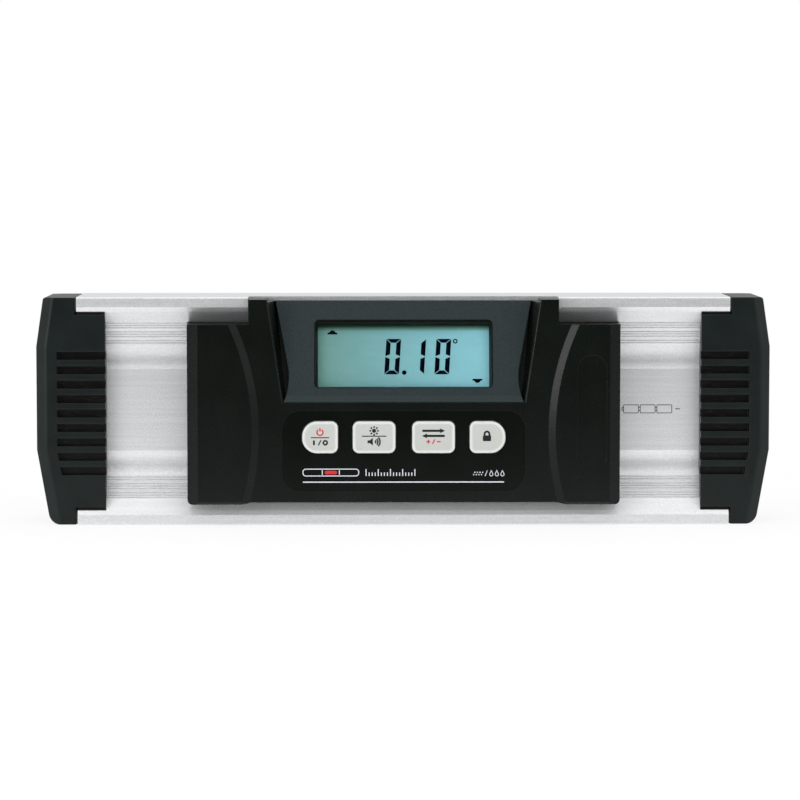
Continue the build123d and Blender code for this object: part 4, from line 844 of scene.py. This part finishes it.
def display_pane(materials):
    """The clear window with broken edges, a hair in front of the liquid crystal."""
    place = face_frame("display_window", 0, DISPLAY_MIDDLE)
    crystal = face_frame("lcd_panel", 0, DISPLAY_MIDDLE)
    up, out = place.col[1].to_3d(), place.col[2].to_3d()
    thick = out.dot(place.translation - crystal.translation) - PANE_GAP
    mesh = frame["nodes"]["display_window"].data
    heights = [up.dot(v.co - place.translation) for v in mesh.vertices]
    low, high = min(heights), max(heights)
    half = max(v.co.x for v in mesh.vertices)
    bm = bmesh.new()
    corners = ((-half, low), (half, low), (half, high), (-half, high))
    bm.faces.new([bm.verts.new((x, y, 0)) for x, y in corners])
    thicken(bm, thick)
    bmesh.ops.bevel(bm, geom=bm.edges[:], offset=PANE_EDGE, segments=2, profile=0.5, affect="EDGES")
    bm.transform(place)
    made = piece("clear_pane", bm, materials["window_clear"], "level_body")
    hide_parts("display_window")


def sight_shade_ring(materials):
    """A black ring of painted shade round the sight opening, on the bezel's face, widest above it."""
    place = face_frame("display_bezel", 0, BEZEL_FACE)
    flat = [place.inverted() @ v.co for v in frame["nodes"]["display_bezel"].data.vertices]
    rim = [p / MM for p in flat if abs(p.z) < SIGHT_FLATNESS and abs(p.x) < SIGHT_REACH]
    left, low = min(p.x for p in rim), min(p.y for p in rim)
    width, height = max(p.x for p in rim) - left, max(p.y for p in rim) - low
    # painted shade: the ring is widest above the sight and narrowest below it
    side, below, above = SIGHT_SHADE_REACH
    inner = slot_outline(left, low, width, height, SIGHT_CORNER)
    outer = slot_outline(left - side, low - below, width + 2 * side, height + below + above,
                         SIGHT_CORNER + side)
    faces = list(zip(inner, outer, outer[1:] + outer[:1], inner[1:] + inner[:1]))
    printed("sight_shade_ring", faces, place, materials["shade_ink"])


def close_loops(bm, loops):
    """Skins a stack of loops with equal counts, and closes both ends."""
    for near, far in zip(loops, loops[1:]):
        for i in range(len(near)):
            j = (i + 1) % len(near)
            bm.faces.new((near[i], far[i], far[j], near[j]))
    bm.faces.new(loops[0])
    bm.faces.new(reversed(loops[-1]))
    bmesh.ops.recalc_face_normals(bm, faces=bm.faces)


def key_ring(half, corners, inset):
    """Points round a key's outline, moved in from it; half is half the width and half the height."""
    wide, tall = half[0] - inset, half[1] - inset
    left, right = (max(corner - inset, KEY_COLLAR_CORNER) for corner in corners)
    points = []
    rounds = ((1, -1, right, -90), (1, 1, right, 0), (-1, 1, left, 90), (-1, -1, left, 180))
    for across, up, radius, turn in rounds:
        centre = (across * (wide - radius), up * (tall - radius))
        points += arc(centre, radius, turn, turn + 90, KEY_STEPS)
    return points


def soft_key(name, materials):
    """A moulded key with its collar: soft rim, shallow dish."""
    low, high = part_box(name)
    deep = (high.y - low.y) / MM
    foot = ((high.x - low.x) / 2 / MM, (high.z - low.z) / 2 / MM)
    half = (foot[0] - KEY_COLLAR, foot[1] - KEY_COLLAR)
    collar = key_ring(foot, (KEY_COLLAR_CORNER, KEY_COLLAR_CORNER), 0)
    shoulder = deep - KEY_COLLAR_THICKNESS
    rings = [(collar, deep), (collar, shoulder), (key_ring(half, KEY_CORNERS[name], 0), shoulder)]
    rings += [(key_ring(half, KEY_CORNERS[name], inset), fall) for inset, fall in KEY_CROWN]
    middle = Vector(((low.x + high.x) / 2, low.y, (low.z + high.z) / 2))
    bm = bmesh.new()
    loops = [[bm.verts.new(middle + Vector((x, fall, z)) * MM) for x, z in points] for points, fall in rings]
    close_loops(bm, loops)
    made = piece(name + "_moulded", bm, materials["key_plastic"], name, KEY_SMOOTH)
    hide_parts(name)


def hexagon_reach(turn, half_flats):
    """How far a hexagon's edge lies from its middle in one direction."""
    sixth = math.radians(60)
    return half_flats / math.cos((turn + sixth / 2) % sixth - sixth / 2)


def socket_screw(bm, place, head_radius, head_height, shank_radius, shank_length):
    """Adds a round-headed screw with a hexagon socket; its head's top looks along z and lies at z = 0."""
    edge = HEAD_EDGE * head_height
    flats = SOCKET_SHARE * head_radius
    tip = TIP_SHARE * shank_radius
    end = -head_height - shank_length
    rings = [
        (True, flats * SOCKET_TAPER, -SOCKET_DEPTH * head_height), (True, flats * SOCKET_TAPER, -edge),
        (True, flats, 0), (False, head_radius - edge, 0),
        (False, head_radius - edge * HEAD_ROUND, -edge * HEAD_ROUND), (False, head_radius, -edge),
        (False, head_radius, -head_height), (False, shank_radius, -head_height),
        (False, shank_radius, end + tip), (False, shank_radius - tip, end),
    ]
    turns = [math.tau * i / SCREW_SIDES for i in range(SCREW_SIDES)]
    loops = []
    for six_sided, reach, height in rings:
        radii = [hexagon_reach(turn, reach) if six_sided else reach for turn in turns]
        loops.append([bm.verts.new(place @ Vector((radius * math.cos(turn), radius * math.sin(turn), height)))
                      for radius, turn in zip(radii, turns)])
    close_loops(bm, loops)


def screws(name, node_name, outward, places, head, shank, materials):
    """A node's screws with their sockets: heads and shanks as radius and length."""
    out = Vector(outward)
    side = Vector((0, 0, 1))
    turn = Matrix((side, out.cross(side), out)).transposed().to_4x4()
    bm = bmesh.new()
    for spot in places:
        socket_screw(bm, Matrix.Translation(spot) @ turn, *head, *shank)
    made = piece(name, bm, materials["screw_steel"], "level_body", SCREW_SMOOTH)
    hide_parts(node_name)


def all_screws(materials):
    """The screws that show: two in each end cap and four in the rear of the profile."""
    for side, name in ((-1, "left_cap_screws"), (1, "right_cap_screws")):
        low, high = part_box(name)
        end = low.x if side < 0 else high.x
        radius = (high.y - low.y) / 2
        spots = [Vector((end, (low.y + high.y) / 2, z)) for z in (low.z + radius, high.z - radius)]
        shank = (CAP_SHANK_RADIUS, high.x - low.x - CAP_HEAD_HEIGHT)
        screws(name + "_socketed", name, (side, 0, 0), spots, (radius, CAP_HEAD_HEIGHT), shank, materials)
    low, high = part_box("cover_screws")
    radius = COVER_HEAD_RADIUS
    spots = [Vector((x, high.y, z)) for x in (low.x + radius, high.x - radius)
             for z in (low.z + radius, high.z - radius)]
    head = (radius, COVER_HEAD_HEIGHT)
    shank = (COVER_SHANK_RADIUS, high.y - low.y - COVER_HEAD_HEIGHT)
    screws("cover_screws_socketed", "cover_screws", (0, 1, 0), spots, head, shank, materials)


def seal_shade_strip(bm, ends, way, rows):
    """One strip that lies on the profile between two ends, at heights found on its front or back."""
    profile = frame["nodes"]["body_profile"]
    section = []
    for rise in (SEAL_SHADE_RISE, -SEAL_SHADE_RISE):
        for row in rows if rise > 0 else reversed(rows):
            start = Vector(((ends[0] + ends[1]) / 2, way, row))
            _, place, _, _ = profile.ray_cast(start, Vector((0, -way, 0)))
            section.append((place.y + way * rise, row))
    close_loops(bm, [[bm.verts.new((x, y, z)) for y, z in section] for x in ends])


def seal_shade_strips(materials):
    """Edges of the end seals in the caps' rebates, above and below, front and back, dark as painted shade of the
    gaps.
    """
    inner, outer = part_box("right_end_cap")[0].x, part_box("body_profile")[1].x
    bm = bmesh.new()
    for side in (-1, 1):
        for way in (-1, 1):
            for rows in (SEAL_SHADE_ROWS, [2 * MIDDLE_HEIGHT - row for row in SEAL_SHADE_ROWS]):
                seal_shade_strip(bm, (side * inner, side * outer), way, rows)
    # painted shade: these dark strips give the gaps under the lips their shade, as well as showing the seals'
    # edges
    piece("end_seal_shade_strips", bm, materials["seal_rubber"], "level_body")


def key_signs(materials):
    """Signs on the four keys, each riding on its own key."""
    signs = {
        "power_key": [("power_sign", power_sign(), "red_ink"),
                      ("switch_signs", rule(POWER_RULE, RULE_LINE) + switch_signs(), "dark_ink")],
        "light_key": [("light_signs", light_sign() + rule(LIGHT_RULE, RULE_LINE) + sound_sign(), "dark_ink")],
        "mode_key": [("mode_sign", mode_sign(), "dark_ink"), ("zero_sign", zero_sign(), "red_ink")],
        "hold_key": [("hold_sign", hold_sign(), "dark_ink")],
    }
    for key, prints in signs.items():
        low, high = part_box(key)
        place = face_frame(key, (low.x + high.x) / 2, (low.z + high.z) / 2)
        for name, faces, colour in prints:
            printed(name, faces, place, materials[colour], key)
        soft_key(key, materials)


def body_prints(materials):
    """Display marks, the overlay's signs and line, and the cell outlines on the web."""
    crystal = face_frame("lcd_panel", 0, DISPLAY_MIDDLE)
    printed("display_marks", display_marks(), crystal, materials["crystal_ink"])
    overlay = face_frame("keypad_overlay", 0, OVERLAY_MIDDLE)
    white = rule((*RULE_ENDS, RULE_ROW), RULE_WIDTH) + vial_sign() + guard_signs()
    printed("overlay_signs", white, overlay, materials["white_ink"])
    printed("vial_bubble", bubble_sign(), overlay, materials["red_ink"])
    web = face_frame("body_profile", *CELL_PLACE)
    printed("cell_outlines", cell_outlines(), web, materials["dark_ink"])


# Studio

def seen_rays(tree):
    """One where a ray comes from the camera, a gloss or a clear piece, and the camera's rays alone."""
    rays = node(tree, "LightPath").outputs
    seen = combined(tree, "MAXIMUM", rays["Is Camera Ray"], rays["Is Glossy Ray"])
    return combined(tree, "MAXIMUM", seen, rays["Is Transmission Ray"]), rays["Is Camera Ray"]


def chosen(tree, share, first, second):
    """Two shaders mixed by a share."""
    return node(tree, "MixShader", {0: share, 1: first, 2: second}).outputs[0]


def surround():
    """A white tent, open and dimmer on the camera's side."""
    world = bpy.data.worlds.new("white_tent")
    bpy.context.scene.world = world
    world.use_nodes = True
    tree = world.node_tree
    tree.nodes.clear()
    seen, camera_ray = seen_rays(tree)
    way = node(tree, "SeparateXYZ", {"Vector": node(tree, "TexCoord").outputs["Generated"]}).outputs
    cloth = ramp(tree, spread(tree, way["Y"], 0, 1, -1, 1), *TENT_CLOTH)
    roof = ramp(tree, spread(tree, way["Z"], 0, 1, -1, 1), *TENT_LIGHT)
    soft, shown, white = (node(tree, "Background", {"Color": colour, "Strength": 1.0}).outputs[0]
                          for colour in (roof, cloth, (*WHITE, 1)))
    lit = chosen(tree, seen, soft, shown)
    node(tree, "OutputWorld", {"Surface": chosen(tree, camera_ray, lit, white)})


def floor_paper():
    """White paper that glows to the camera, and darkens towards it where gloss shows it."""
    paper = bpy.data.materials.new("floor_paper")
    paper.use_nodes = True
    tree = paper.node_tree
    tree.nodes.clear()
    seen, camera_ray = seen_rays(tree)
    away = node(tree, "VectorMath", {0: position(tree)}, operation="LENGTH").outputs["Value"]
    front = ramp(tree, spread(tree, position(tree, "Y"), 0, 1, *FLOOR_FRONT), (0.0, FLOOR_DIM), (1.0, WHITE))
    mirrored, white = (node(tree, "Emission", {"Color": colour, "Strength": 1.0}).outputs[0]
                       for colour in (front, (*WHITE, 1)))
    matt = node(tree, "BsdfDiffuse", {"Color": FLOOR_TONE}).outputs[0]
    share = combined(tree, "MULTIPLY", seen, spread(tree, away, *FLOOR_GLOW))
    glow = chosen(tree, camera_ray, mirrored, white)
    node(tree, "OutputMaterial", {"Surface": chosen(tree, share, matt, glow)})
    return paper


def floor():
    """A wide plain floor, white to the camera but for the object's shadow."""
    bm = bmesh.new()
    corners = ((-1, -1), (1, -1), (1, 1), (-1, 1))
    bm.faces.new([bm.verts.new((x * FLOOR_HALF, y * FLOOR_HALF, 0)) for x, y in corners])
    made = mesh_object("studio_floor", bm, floor_paper())


def lamp(name, place, target, size, power, in_gloss):
    """A soft rectangular lamp aimed at a point."""
    light = bpy.data.lights.new(name, "AREA")
    light.shape = "RECTANGLE"
    light.size, light.size_y = size
    light.energy = power
    made = linked(name, light)
    made.location = place
    made.rotation_euler = (Vector(target) - Vector(place)).to_track_quat("-Z", "Y").to_euler()
    made.visible_camera = False
    made.visible_glossy = in_gloss


def camera():
    """The photograph's view: from a little above, almost square on."""
    lens = bpy.data.cameras.new("photo_camera")
    lens.lens = LENS
    lens.sensor_width = SENSOR
    lens.sensor_fit = "HORIZONTAL"
    made = linked("photo_camera", lens)
    made.location = CAMERA_PLACE
    made.rotation_euler = (math.pi / 2 - CAMERA_PITCH, 0, -CAMERA_TURN)
    bpy.context.scene.camera = made


def main():
    """Dresses the part and sets up the studio."""
    materials = finishes()
    dress(materials)
    display_pane(materials)
    sight_shade_ring(materials)
    body_prints(materials)
    key_signs(materials)
    all_screws(materials)
    seal_shade_strips(materials)
    surround()
    floor()
    for name, settings in LAMPS.items():
        lamp(name, *settings)
    camera()
    bpy.context.scene.view_settings.view_transform = "Standard"


main()
